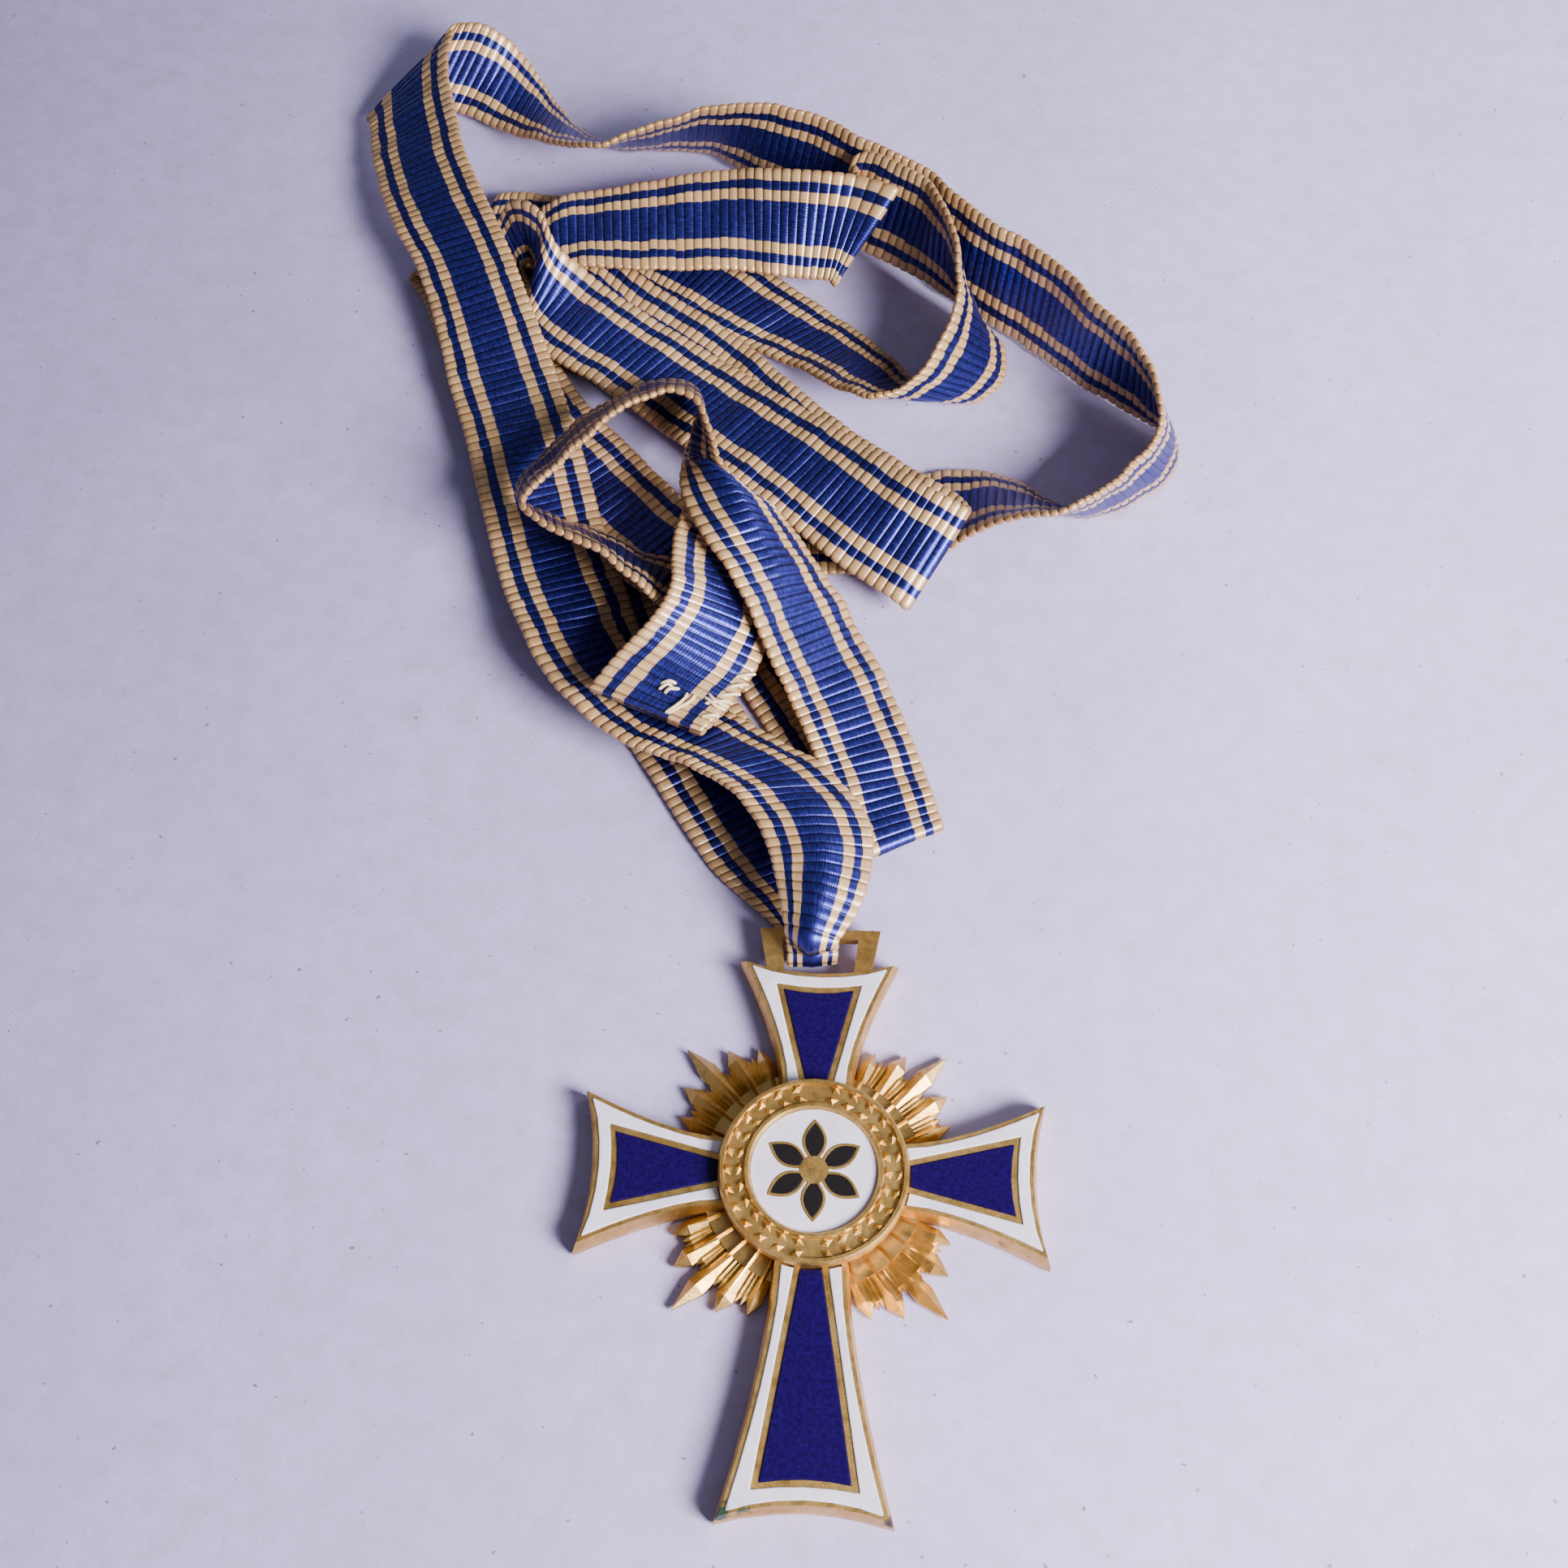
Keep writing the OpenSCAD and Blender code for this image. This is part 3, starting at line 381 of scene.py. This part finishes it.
class Nodes:
    """Short ways to build a material's node tree."""

    def __init__(self, name):
        self.material = bpy.data.materials.new(name)
        self.material.use_nodes = True
        self.tree = self.material.node_tree
        self.tree.nodes.clear()
        output = self.tree.nodes.new("ShaderNodeOutputMaterial")
        self.shader = self.tree.nodes.new("ShaderNodeBsdfPrincipled")
        self.link(self.shader.outputs[0], output.inputs["Surface"])

    def link(self, a, b):
        self.tree.links.new(a, b)

    def put(self, socket, value):
        """Link a socket to the input, or set the input to a value."""
        if isinstance(value, bpy.types.NodeSocket):
            self.link(value, socket)
        else:
            socket.default_value = value

    def set(self, **values):
        """Inputs of the shader, with _ for the space in a name."""
        for name, value in values.items():
            self.put(self.shader.inputs[name.replace("_", " ")], value)

    def place(self):
        """Place on the object in millimetres."""
        coord = self.tree.nodes.new("ShaderNodeTexCoord")
        mapping = self.tree.nodes.new("ShaderNodeMapping")
        mapping.inputs["Scale"].default_value = [1 / MM] * 3
        self.link(coord.outputs["Object"], mapping.inputs["Vector"])
        return mapping.outputs[0]

    def attribute(self, name):
        node = self.tree.nodes.new("ShaderNodeAttribute")
        node.attribute_name = name
        return node.outputs["Vector"]

    def split(self, vector):
        node = self.tree.nodes.new("ShaderNodeSeparateXYZ")
        self.link(vector, node.inputs[0])
        return node.outputs

    def join(self, x, y, z):
        node = self.tree.nodes.new("ShaderNodeCombineXYZ")
        for socket, value in zip(node.inputs, (x, y, z)):
            self.put(socket, value)
        return node.outputs[0]

    def noise(self, vector, scale, detail=3.0, roughness=0.55):
        node = self.tree.nodes.new("ShaderNodeTexNoise")
        self.link(vector, node.inputs["Vector"])
        node.inputs["Scale"].default_value = scale
        node.inputs["Detail"].default_value = detail
        node.inputs["Roughness"].default_value = roughness
        return node.outputs["Fac"]

    def math(self, operation, a, b=0.0):
        node = self.tree.nodes.new("ShaderNodeMath")
        node.operation = operation
        for socket, value in zip(node.inputs, (a, b)):
            self.put(socket, value)
        return node.outputs[0]

    def spread(self, value, low, high, to_low=0.0, to_high=1.0):
        """Value from low..high to to_low..to_high, held at the ends."""
        node = self.tree.nodes.new("ShaderNodeMapRange")
        node.clamp = True
        for name, v in zip(("Value", "From Min", "From Max", "To Min", "To Max"),
                           (value, low, high, to_low, to_high)):
            self.put(node.inputs[name], v)
        return node.outputs[0]

    def step(self, value, at):
        """0 below the given value and 1 above it, with the softness of a stripe's border."""
        return self.spread(value, at - STRIPE_SOFT, at + STRIPE_SOFT)

    def mix(self, fac, a, b, blend="MIX"):
        node = self.tree.nodes.new("ShaderNodeMix")
        node.data_type = "RGBA"
        node.blend_type = blend
        self.put(node.inputs["Factor"], fac)
        colours = [s for s in node.inputs if s.type == "RGBA"]
        self.put(colours[0], a)
        self.put(colours[1], b)
        return [s for s in node.outputs if s.type == "RGBA"][0]

    def near(self, centre, radius, value):
        """1 close to a point, falling to 0 about the radius in millimetres, ragged by the value."""
        place = self.tree.nodes.new("ShaderNodeNewGeometry")
        node = self.tree.nodes.new("ShaderNodeVectorMath")
        node.operation = "DISTANCE"
        self.link(place.outputs["Position"], node.inputs[0])
        node.inputs[1].default_value = (np.array(centre) + SHIFT) * MM
        half = radius * MM / 2
        ragged = self.math(
            "ADD", node.outputs["Value"], self.spread(value, 0.3, 0.7, -half, half))
        return self.spread(ragged, radius * MM * 0.7, radius * MM * 1.3, 1.0, 0.0)

    def stain(self, colour, spots, ragged, strength, stain):
        """The colour with a stain on it at each spot."""
        for spot, radius in spots:
            cover = self.math("MULTIPLY", self.near(spot, radius, ragged), strength)
            colour = self.mix(cover, colour, stain)
        return colour

    def bump(self, height, distance_mm, strength=1.0, normal=None):
        node = self.tree.nodes.new("ShaderNodeBump")
        node.inputs["Strength"].default_value = strength
        node.inputs["Distance"].default_value = distance_mm * MM
        self.link(height, node.inputs["Height"])
        if normal is not None:
            self.link(normal, node.inputs["Normal"])
        return node.outputs[0]


def ribbon_material():
    """Grosgrain: stripes by the distance across, with fine threads, soiling, painted glints on some
    threads and painted shade in the grooves.
    """
    n = Nodes("ribbon_grosgrain")
    across, along, crest = n.split(n.attribute("weave"))

    def fleck(across_scale, along_scale, start, detail, roughness=0.55):
        at = n.join(
            n.math("MULTIPLY", across, across_scale), n.math("MULTIPLY", along, along_scale), start)
        return n.noise(at, 1.0, detail, roughness)

    # Each rib's stripes end at slightly different places
    rib = n.math("FLOOR", n.math("DIVIDE", along, RIB_PITCH))
    at = n.join(n.math("MULTIPLY", rib, 3.7), n.math("MULTIPLY", across, 0.6), 0.0)
    uneven = n.noise(at, 1.0, 1.0)
    side = n.math("ABSOLUTE", across)
    edge = n.math("ADD", side, n.spread(uneven, 0.3, 0.7, -0.09, 0.09))
    in_cream = n.step(edge, CENTRE_TO)
    in_stripe = n.step(edge, CREAM_TO)
    in_selvedge = n.step(edge, STRIPE_TO)

    threads = fleck(7.0, 0.35, 0.0, 2.0)
    flecks = fleck(4.0, 1.6, 5.0, 3.0, 0.7)
    blue = n.mix(n.spread(flecks, 0.35, 0.72), DEEP_BLUE, ROYAL_BLUE)
    # Painted glints: some blue threads made lighter, as where the silk catches the light
    blue = n.mix(n.spread(threads, 0.56, 0.78, 0.0, 0.35), blue, BLUE_PAINTED_GLINT)
    stripe = n.mix(n.spread(threads, 0.4, 0.75, 0.0, 0.5), NAVY_STRIPE, ROYAL_BLUE)
    grime = n.noise(n.place(), 0.16, 4.0, 0.6)
    cream = n.mix(n.spread(grime, 0.42, 0.68, 0.0, 0.6), CREAM, SOILED_CREAM)
    # Painted glints: some cream threads made lighter, as where the silk catches the light
    cream = n.mix(n.spread(threads, 0.5, 0.8, 0.0, 0.3), cream, CREAM_PAINTED_GLINT)
    # The outer cream darkens to tan towards each edge
    tan_edge = n.mix(n.spread(side, TAN_EDGE_FROM, RIBBON_WIDTH / 2, 0.0, 0.75), cream, TAN)
    colour = n.mix(in_cream, blue, cream)
    colour = n.mix(in_stripe, colour, stripe)
    colour = n.mix(in_selvedge, colour, tan_edge)

    # Painted shade: the colour darkens towards the bottom of each groove between the ribs
    groove_shade = n.spread(crest, 0.05, 0.7, 0.85, 0.0)
    warm = n.math("ADD", n.math("SUBTRACT", in_cream, in_stripe), in_selvedge)
    colour = n.mix(groove_shade, colour, n.mix(warm, BLUE_GROOVE_SHADE, CREAM_GROOVE_SHADE))

    satin = n.mix(in_stripe, n.mix(in_cream, BLUE_SATIN, CREAM_SATIN), BLUE_SATIN)
    satin = n.mix(in_selvedge, satin, CREAM_SATIN)
    n.set(
        Base_Color=colour,
        Roughness=n.spread(threads, 0.3, 0.8, 0.32, 0.44),
        Metallic=n.split(satin)[0],
    )
    n.shader.inputs["Specular IOR Level"].default_value = 1.0
    wave = n.math("SINE", n.math("MULTIPLY", across, 2 * math.pi / THREAD_PITCH))
    fine = n.math("ADD", n.math("MULTIPLY", wave, 0.35), threads)
    n.set(Normal=n.bump(fine, 0.02, 0.4))
    return n.material


def thread_material():
    """Sewing cotton, slightly soiled."""
    n = Nodes("sewing_thread")
    n.set(Base_Color=n.mix(n.noise(n.place(), 2.0), COTTON, SOILED_COTTON), Roughness=0.45)
    return n.material


def gilt_material(name, deep, rough, polish):
    """Gilding: warm gold with fine scratches, dull clouds, tarnish and a few stains."""
    n = Nodes(name)
    at = n.place()
    clouds = n.noise(at, 0.35, 4.0, 0.6)
    grain = n.noise(at, 6.0, 3.0, 0.7)
    spots = n.noise(at, 0.9, 5.0, 0.72)
    colour = n.mix(n.spread(clouds, 0.35, 0.7), GOLD, polish)
    colour = n.mix(n.spread(spots, 0.56, 0.72, 0.0, 0.85), colour, deep)
    colour = n.mix(n.spread(grain, 0.55, 0.8, 0.0, 0.4), colour, deep)
    ragged = n.noise(at, 2.0, 3.0, 0.6)
    colour = n.stain(colour, DARK_SPOTS, ragged, 0.9, DARK_SPOT)
    colour = n.stain(colour, VERDIGRIS, ragged, 0.9, METAL_VERDIGRIS)
    n.set(Base_Color=colour, Roughness=n.spread(spots, 0.35, 0.7, rough, rough + 0.2))
    n.shader.inputs["Metallic"].default_value = 1.0
    n.set(Normal=n.bump(grain, 0.03, 0.4, n.bump(spots, 0.06, 0.35)))
    return n.material


def enamel_material(name, base, shade, cloud, pits, rough, gloss):
    """Enamel: glassy coat over a faintly clouded colour, with small pits."""
    n = Nodes(name)
    at = n.place()
    clouds = n.noise(at, cloud, 4.0, 0.6)
    pit = n.noise(at, 4.5, 2.0, 0.8)
    colour = n.mix(n.spread(clouds, 0.35, 0.7), base, shade)
    colour = n.mix(n.spread(pit, 0.68, 0.78, 0.0, pits), colour, ENAMEL_PIT)
    ragged = n.noise(at, 2.0, 3.0, 0.6)
    colour = n.stain(colour, VERDIGRIS, ragged, 0.6, ENAMEL_VERDIGRIS)
    n.set(Base_Color=colour, Roughness=n.spread(clouds, 0.3, 0.7, rough, rough + 0.12))
    n.shader.inputs["Specular IOR Level"].default_value = gloss
    n.set(Normal=n.bump(n.noise(at, 0.8, 3.0, 0.5), 0.1, 0.25))
    return n.material


def floor_material():
    """Pale matt surface, faintly mottled, with a few specks and painted shade towards the left."""
    n = Nodes("floor")
    at = n.place()
    colour = n.mix(n.spread(n.noise(at, 0.05, 3.0), 0.3, 0.7), FLOOR_PALE, FLOOR_SHADE)
    mottle = n.noise(at, 0.4, 5.0, 0.7)
    colour = n.mix(n.spread(mottle, 0.4, 0.7, 0.0, 0.5), colour, FLOOR_MOTTLE)
    specks = n.noise(at, 1.4, 2.0, 0.5)
    colour = n.mix(n.spread(specks, 0.72, 0.76, 0.0, 0.75), colour, FLOOR_SPECK)
    # Painted shade: the floor's colour darkens towards the left
    painted_shade = n.mix(1.0, colour, FLOOR_PAINTED_SHADE, "MULTIPLY")
    colour = n.mix(n.spread(n.split(at)[0], *FLOOR_PAINTED_SHADE_SPAN), painted_shade, colour)
    n.set(Base_Color=colour, Roughness=n.spread(n.noise(at, 0.5, 3.0), 0.3, 0.7, 0.62, 0.72))
    n.shader.inputs["Specular IOR Level"].default_value = 0.2
    n.set(Normal=n.bump(n.noise(at, 2.5, 4.0, 0.65), 0.12, 0.25))
    return n.material


def unit(vectors):
    """The same directions, each with a length of 1."""
    return vectors / np.maximum(np.linalg.norm(vectors, axis=-1, keepdims=True), 1e-9)


def direction(azimuth, elevation):
    a, e = math.radians(azimuth), math.radians(elevation)
    return np.array([math.cos(a) * math.cos(e), math.sin(a) * math.cos(e), math.sin(e)])


def edges_of(rows):
    """Both edge points of each row, then its crease, as one vector a row."""
    out = []
    for row in rows:
        width = row[5] if len(row) > 5 else RIBBON_WIDTH
        crease = row[6] if len(row) > 6 else 0.0
        centre = np.array(row[:3], float) + SHIFT
        half = direction(row[3], row[4]) * width / 2
        out.append(np.concatenate([centre - half, centre + half, [crease]]))
    return np.array(out)


def with_ends(points):
    """The points with one more at each end, in line with the last two."""
    return np.vstack([2 * points[0] - points[1], points, 2 * points[-1] - points[-2]])


def knot(a, b):
    """Distance between two rows on the curve's own scale."""
    return math.sqrt((np.linalg.norm((b - a)[:3]) + np.linalg.norm((b - a)[3:6])) / 2)


def smooth_route(rows):
    """Centripetal curve through the rows."""
    points = edges_of(rows)
    ends = with_ends(points)
    out = []
    for k in range(1, len(ends) - 2):
        p = ends[k - 1:k + 3]
        t1 = knot(p[0], p[1])
        t2 = t1 + knot(p[1], p[2])
        t3 = t2 + knot(p[2], p[3])
        for s in range(ROUTE_STEPS):
            t = t1 + (t2 - t1) * s / ROUTE_STEPS
            a1 = ((t1 - t) * p[0] + t * p[1]) / t1
            a2 = ((t2 - t) * p[1] + (t - t1) * p[2]) / (t2 - t1)
            a3 = ((t3 - t) * p[2] + (t - t2) * p[3]) / (t3 - t2)
            b1 = ((t2 - t) * a1 + t * a2) / t2
            b2 = ((t3 - t) * a2 + (t - t1) * a3) / (t3 - t1)
            out.append(((t2 - t) * b1 + (t - t1) * b2) / (t2 - t1))
    out.append(points[-1])
    return np.array(out)


curve = smooth_route(ROUTE)
middle_line = (curve[:, :3] + curve[:, 3:6]) / 2
arc = np.concatenate([[0], np.cumsum(np.linalg.norm(np.diff(middle_line, axis=0), axis=1))])
RIBBON_LENGTH = arc[-1]


def resample(at):
    """Rows of the curve at distances along it."""
    return np.stack([np.interp(at, arc, curve[:, c]) for c in range(curve.shape[1])], 1)


def add_piece(name, rings, faces, material):
    """Smooth mesh of rings of points in millimetres, fixed to the root body."""
    mesh = bpy.data.meshes.new(name)
    mesh.from_pydata((rings.reshape(-1, 3) * MM).tolist(), [], faces)
    mesh.update()
    mesh.polygons.foreach_set("use_smooth", [True] * len(mesh.polygons))
    mesh.materials.append(material)
    piece = bpy.data.objects.new(name, mesh)
    bpy.context.scene.collection.objects.link(piece)
    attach(piece, "root")
    return piece


def tube_faces(count, around):
    """Faces between count rings that have around points each."""
    i = np.arange(count - 1)[:, None] * around
    j = np.arange(around)[None, :]
    k = (j + 1) % around
    return np.stack([i + j, i + k, i + around + k, i + around + j], 2).reshape(-1, 4).tolist()


def rib_places(start, end):
    """Distances along the ribbon of the sections of its ribs, from start to end."""
    first, final = math.ceil(start / RIB_PITCH), math.floor(end / RIB_PITCH)
    inner = [(k + phase) * RIB_PITCH for k in range(first, final) for phase in RIB_PHASES]
    places = [start] + inner + [final * RIB_PITCH, end]
    at = np.array([a for a in places if start <= a <= end])
    return at[np.concatenate([[True], np.diff(at) > LEAST_STEP])]


def cloth_rings(at, crest):
    """Points round the cloth at each section: upper face, then lower face back again."""
    rows = resample(at)
    low, high = rows[:, :3], rows[:, 3:6]
    centre = (low + high) / 2
    across = unit(high - low)
    up = unit(np.cross(unit(np.gradient(centre, axis=0)), across))
    width = np.linalg.norm(high - low, axis=1)[:, None]
    v = np.array(ACROSS)
    share = v / (RIBBON_WIDTH / 2)
    scallop = np.clip((np.abs(share) - SCALLOP_FROM) / (1 - SCALLOP_FROM), 0, 1) * np.sign(share)
    offset = share * width / 2 + scallop * SCALLOP * (crest[:, None] - SCALLOP_LEVEL)
    crease = rows[:, 6:7] * (1 - np.abs(share))
    ripple = RIPPLE * sum(
        part * np.sin(2 * np.pi * at[:, None] / length + start + lean * v)
        for part, length, start, lean in RIPPLES)
    lift = (ripple - crease)[:, :, None]
    middle = centre[:, None] + across[:, None] * offset[:, :, None] + up[:, None] * lift
    normal = unit(np.cross(np.gradient(middle, axis=0), np.gradient(middle, axis=1)))
    inside = np.clip((RIBBON_WIDTH / 2 - np.abs(v)) / EDGE_ROUND, 0, 1)
    rounding = np.sqrt(1 - (1 - inside) ** 2)
    half = ((CLOTH_HALF - VALLEY_DEPTH * (1 - crest))[:, None] * rounding)[:, :, None]
    top = middle + normal * half
    bottom = middle - normal * half
    return np.concatenate([top, bottom[:, -2:0:-1]], 1)


def cloth_caps(count, around):
    """Faces that close both ends of the cloth, from its upper to its lower face."""
    edge = len(ACROSS) - 1
    last = (count - 1) * around
    caps = []
    for q in range(1, edge - 1):
        below = around - q
        caps.append([below, below - 1, q + 1, q])
        caps.append([last + q, last + q + 1, last + below - 1, last + below])
    caps += [[1, 0, around - 1], [last, last + 1, last + around - 1]]
    caps += [[edge, edge - 1, edge + 1], [last + edge - 1, last + edge, last + edge + 1]]
    return caps


def ribbon_piece(name, start, end, material):
    """One stretch of the ribbon, from start to end along it, as a closed mesh."""
    at = rib_places(start, end)
    phase = np.mod(at / RIB_PITCH, 1.0)
    crest = np.sqrt(np.clip(1 - (2 * phase - 1) ** 2, 0, 1))
    rings = cloth_rings(at, crest)
    count, around = rings.shape[:2]
    faces = tube_faces(count, around) + cloth_caps(count, around)
    piece = add_piece(name, rings, faces, material)
    weave = np.zeros((count, around, 3))
    weave[:, :, 0] = ACROSS + ACROSS[-2:0:-1]
    weave[:, :, 1] = at[:, None]
    weave[:, :, 2] = crest[:, None]
    layer = piece.data.attributes.new("weave", "FLOAT_VECTOR", "POINT")
    layer.data.foreach_set("vector", weave.ravel())
    return piece


# Ribbon: the source's route, with ribs, scalloped edges and thinner cloth, cut in its grooves
silk = ribbon_material()
cuts = [RIB_PITCH * round(RIBBON_LENGTH * k / PIECES / RIB_PITCH) for k in range(PIECES)]
cuts.append(RIBBON_LENGTH)
for k in range(PIECES):
    start, end = cuts[k], cuts[k + 1]
    piece = ribbon_piece(f"ribbon_{k + 1}", start, end, silk)
    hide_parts("ribbon")

# Stitches that hold the two ends together, each a short thread that lies on the upper end.
# Columns: distance back from the cut, and distance across the ribbon, of each bend
STITCHES = {
    "stitch_knot_1": [(2.6, 0.5), (3.1, 0.1), (3.3, -0.5)],
    "stitch_knot_2": [(2.1, 0.3), (2.8, 0.0), (2.7, -0.8)],
    "stitch_knot_3": [(2.0, -0.3), (2.5, -0.4), (3.0, -1.0)],
    "stitch_left": [(3.0, -1.7), (2.2, -1.9), (1.2, -1.8), (0.3, -1.5)],
    "stitch_middle": [(3.2, -2.3), (2.2, -2.4), (1.2, -2.1), (0.3, -1.7)],
    "stitch_cross_1": [(3.4, -3.0), (3.2, -3.6), (3.0, -4.3), (3.2, -5.1)],
    "stitch_cross_2": [(3.9, -3.0), (3.5, -3.8), (3.4, -4.5), (3.6, -5.1)],
    "stitch_cross_3": [(2.8, -3.4), (3.3, -3.9), (3.8, -4.5), (4.1, -5.1)],
    "stitch_edge_1": [(1.4, -4.0), (1.9, -4.6), (2.3, -5.1)],
    "stitch_edge_2": [(4.2, -3.9), (4.8, -4.6), (5.2, -5.1)],
    "stitch_edge_3": [(5.3, -3.9), (5.9, -4.6), (6.3, -5.1)],
    "stitch_edge_4": [(6.4, -3.8), (7.0, -4.6), (7.4, -5.1)],
}
THREAD_RADIUS = 0.15
THREAD_SIDES = 8
THREAD_STEPS = 6
# Share of the radius that is left at the ends of a thread
THREAD_TAPER = 0.5
# Height of a thread's middle above the cloth, and of its ends, which go into it
STITCH_LIFT = 0.18
STITCH_SINK = -0.1
# Short way back along the ribbon, which gives its direction
LOOK_BACK = 0.2


def on_ribbon(back, across, lift):
    """Point above the ribbon's last stretch, from the distance back from its end."""
    rows = resample(RIBBON_LENGTH - back - np.array([0.0, LOOK_BACK]))
    low, high = rows[0, :3], rows[0, 3:6]
    side = unit(high - low)
    along = (low + high - rows[1, :3] - rows[1, 3:6]) / 2
    up = unit(np.cross(along, side))
    if up[2] < 0:
        up = -up
    return (low + high) / 2 + side * across + up * lift


def thread(name, points, material):
    """Round thread through the points, closed at both ends."""
    ends = with_ends(np.array(points))
    spans = len(points) - 1
    path = []
    for f in np.linspace(0, spans, THREAD_STEPS * spans + 1):
        k = min(int(f), spans - 1)
        a, b, c, d = ends[k:k + 4]
        h = f - k
        path.append(0.5 * (2 * b + (c - a) * h + (2 * a - 5 * b + 4 * c - d) * h ** 2
                           + (3 * b - a - 3 * c + d) * h ** 3))
    path = np.array(path)
    along = unit(np.gradient(path, axis=0))
    first = unit(np.cross(along, (0.0, 0.0, 1.0)))
    second = np.cross(along, first)
    radius = np.full(len(path), THREAD_RADIUS)
    radius[[0, -1]] *= THREAD_TAPER
    turn = (2 * math.pi * np.arange(THREAD_SIDES) / THREAD_SIDES)[None, :, None]
    round_it = first[:, None] * np.cos(turn) + second[:, None] * np.sin(turn)
    rings = path[:, None] + radius[:, None, None] * round_it
    start_cap = list(range(THREAD_SIDES))[::-1]
    end_cap = [(len(path) - 1) * THREAD_SIDES + j for j in range(THREAD_SIDES)]
    faces = tube_faces(len(path), THREAD_SIDES) + [start_cap, end_cap]
    return add_piece(name, rings, faces, material)


cotton = thread_material()
for name, bends in STITCHES.items():
    lifts = [STITCH_SINK] + [STITCH_LIFT] * (len(bends) - 2) + [STITCH_SINK]
    points = [on_ribbon(*bend, CLOTH_HALF + lift) for bend, lift in zip(bends, lifts)]
    thread(name, points, cotton)

# Metal and enamel: the source's solids, with their edges softened
gilt = gilt_material("gilt_metal", linear(122, 84, 40), 0.36, linear(226, 188, 118))
gilt_rays = gilt_material("gilt_ray_metal", linear(112, 76, 34), 0.3, linear(234, 198, 128))
white = enamel_material(
    "enamel_white", linear(219, 213, 230), linear(198, 192, 215), 0.25, 0.5, 0.16, 0.5)
blue = enamel_material("enamel_blue", linear(24, 0, 74), linear(10, 0, 44), 3.0, 0.2, 0.2, 0.2)
black = enamel_material("enamel_black", linear(22, 18, 22), linear(10, 8, 10), 0.8, 0.3, 0.32, 0.4)

FINISH = {
    "cross": gilt,
    "ray_star": gilt_rays,
    "medallion_ring": gilt,
    "medallion_field": white,
    "rosette_frame": gilt,
    "rosette_enamel": black,
}
for side in ("top", "right", "bottom", "left"):
    FINISH["white_enamel_" + side] = white
    FINISH["blue_enamel_" + side] = blue

# Width of the softened edges in millimetres, and the angle from which an edge is softened
EDGE = {
    "cross": 0.12,
    "ray_star": 0.03,
    "medallion_ring": 0.05,
    "rosette_frame": 0.06,
    "rosette_enamel": 0.04,
}
OTHER_EDGE = 0.1
EDGE_ANGLE = 25
WELD = 0.002

for name, material in FINISH.items():
    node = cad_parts[name]
    node.data.materials.clear()
    node.data.materials.append(material)
    weld = node.modifiers.new("weld", "WELD")
    weld.merge_threshold = WELD * MM
    bevel = node.modifiers.new("bevel", "BEVEL")
    bevel.width = EDGE.get(name, OTHER_EDGE) * MM
    bevel.segments = 2
    bevel.limit_method = "ANGLE"
    bevel.angle_limit = math.radians(EDGE_ANGLE)

# Floor, lights and sky, in metres
FLOOR_HALF = 1.5
KEY_AT = (0.26, -0.22, 0.22)
KEY_SIZE = (0.18, 0.15)
KEY_WATTS = 6.6
KEY_COLOUR = (1.0, 0.97, 0.94)
FILL_AT = (0.45, 0.36, 0.26)
FILL_AIM = (0, 0.03, 0)
FILL_SIZE = (0.35, 0.35)
FILL_WATTS = 1.2
FILL_COLOUR = (0.95, 0.96, 1.0)
SKY_COLOUR = (0.80, 0.82, 0.94, 1.0)
SKY_STRENGTH = 0.22

floor_mesh = bpy.data.meshes.new("floor")
floor_mesh.from_pydata(
    [(x * FLOOR_HALF, y * FLOOR_HALF, 0.0) for x, y in ((-1, -1), (1, -1), (1, 1), (-1, 1))],
    [], [(0, 1, 2, 3)])
floor = bpy.data.objects.new("floor", floor_mesh)
bpy.context.scene.collection.objects.link(floor)
floor.data.materials.append(floor_material())


def area_light(name, at, aim, size, watts, colour):
    """Rectangular light that faces the point aimed at."""
    light = bpy.data.lights.new(name, "AREA")
    light.shape = "RECTANGLE"
    light.size, light.size_y = size
    light.energy = watts
    light.color = colour
    lamp = bpy.data.objects.new(name, light)
    bpy.context.scene.collection.objects.link(lamp)
    lamp.location = at
    away = lamp.location - Vector(aim)
    lamp.rotation_euler = away.to_track_quat("Z", "Y").to_euler()


area_light("key", KEY_AT, (0, 0, 0), KEY_SIZE, KEY_WATTS, KEY_COLOUR)
area_light("fill", FILL_AT, FILL_AIM, FILL_SIZE, FILL_WATTS, FILL_COLOUR)
world = bpy.data.worlds.new("sky")
world.use_nodes = True
sky = world.node_tree.nodes["Background"]
sky.inputs["Color"].default_value = SKY_COLOUR
sky.inputs["Strength"].default_value = SKY_STRENGTH
bpy.context.scene.world = world
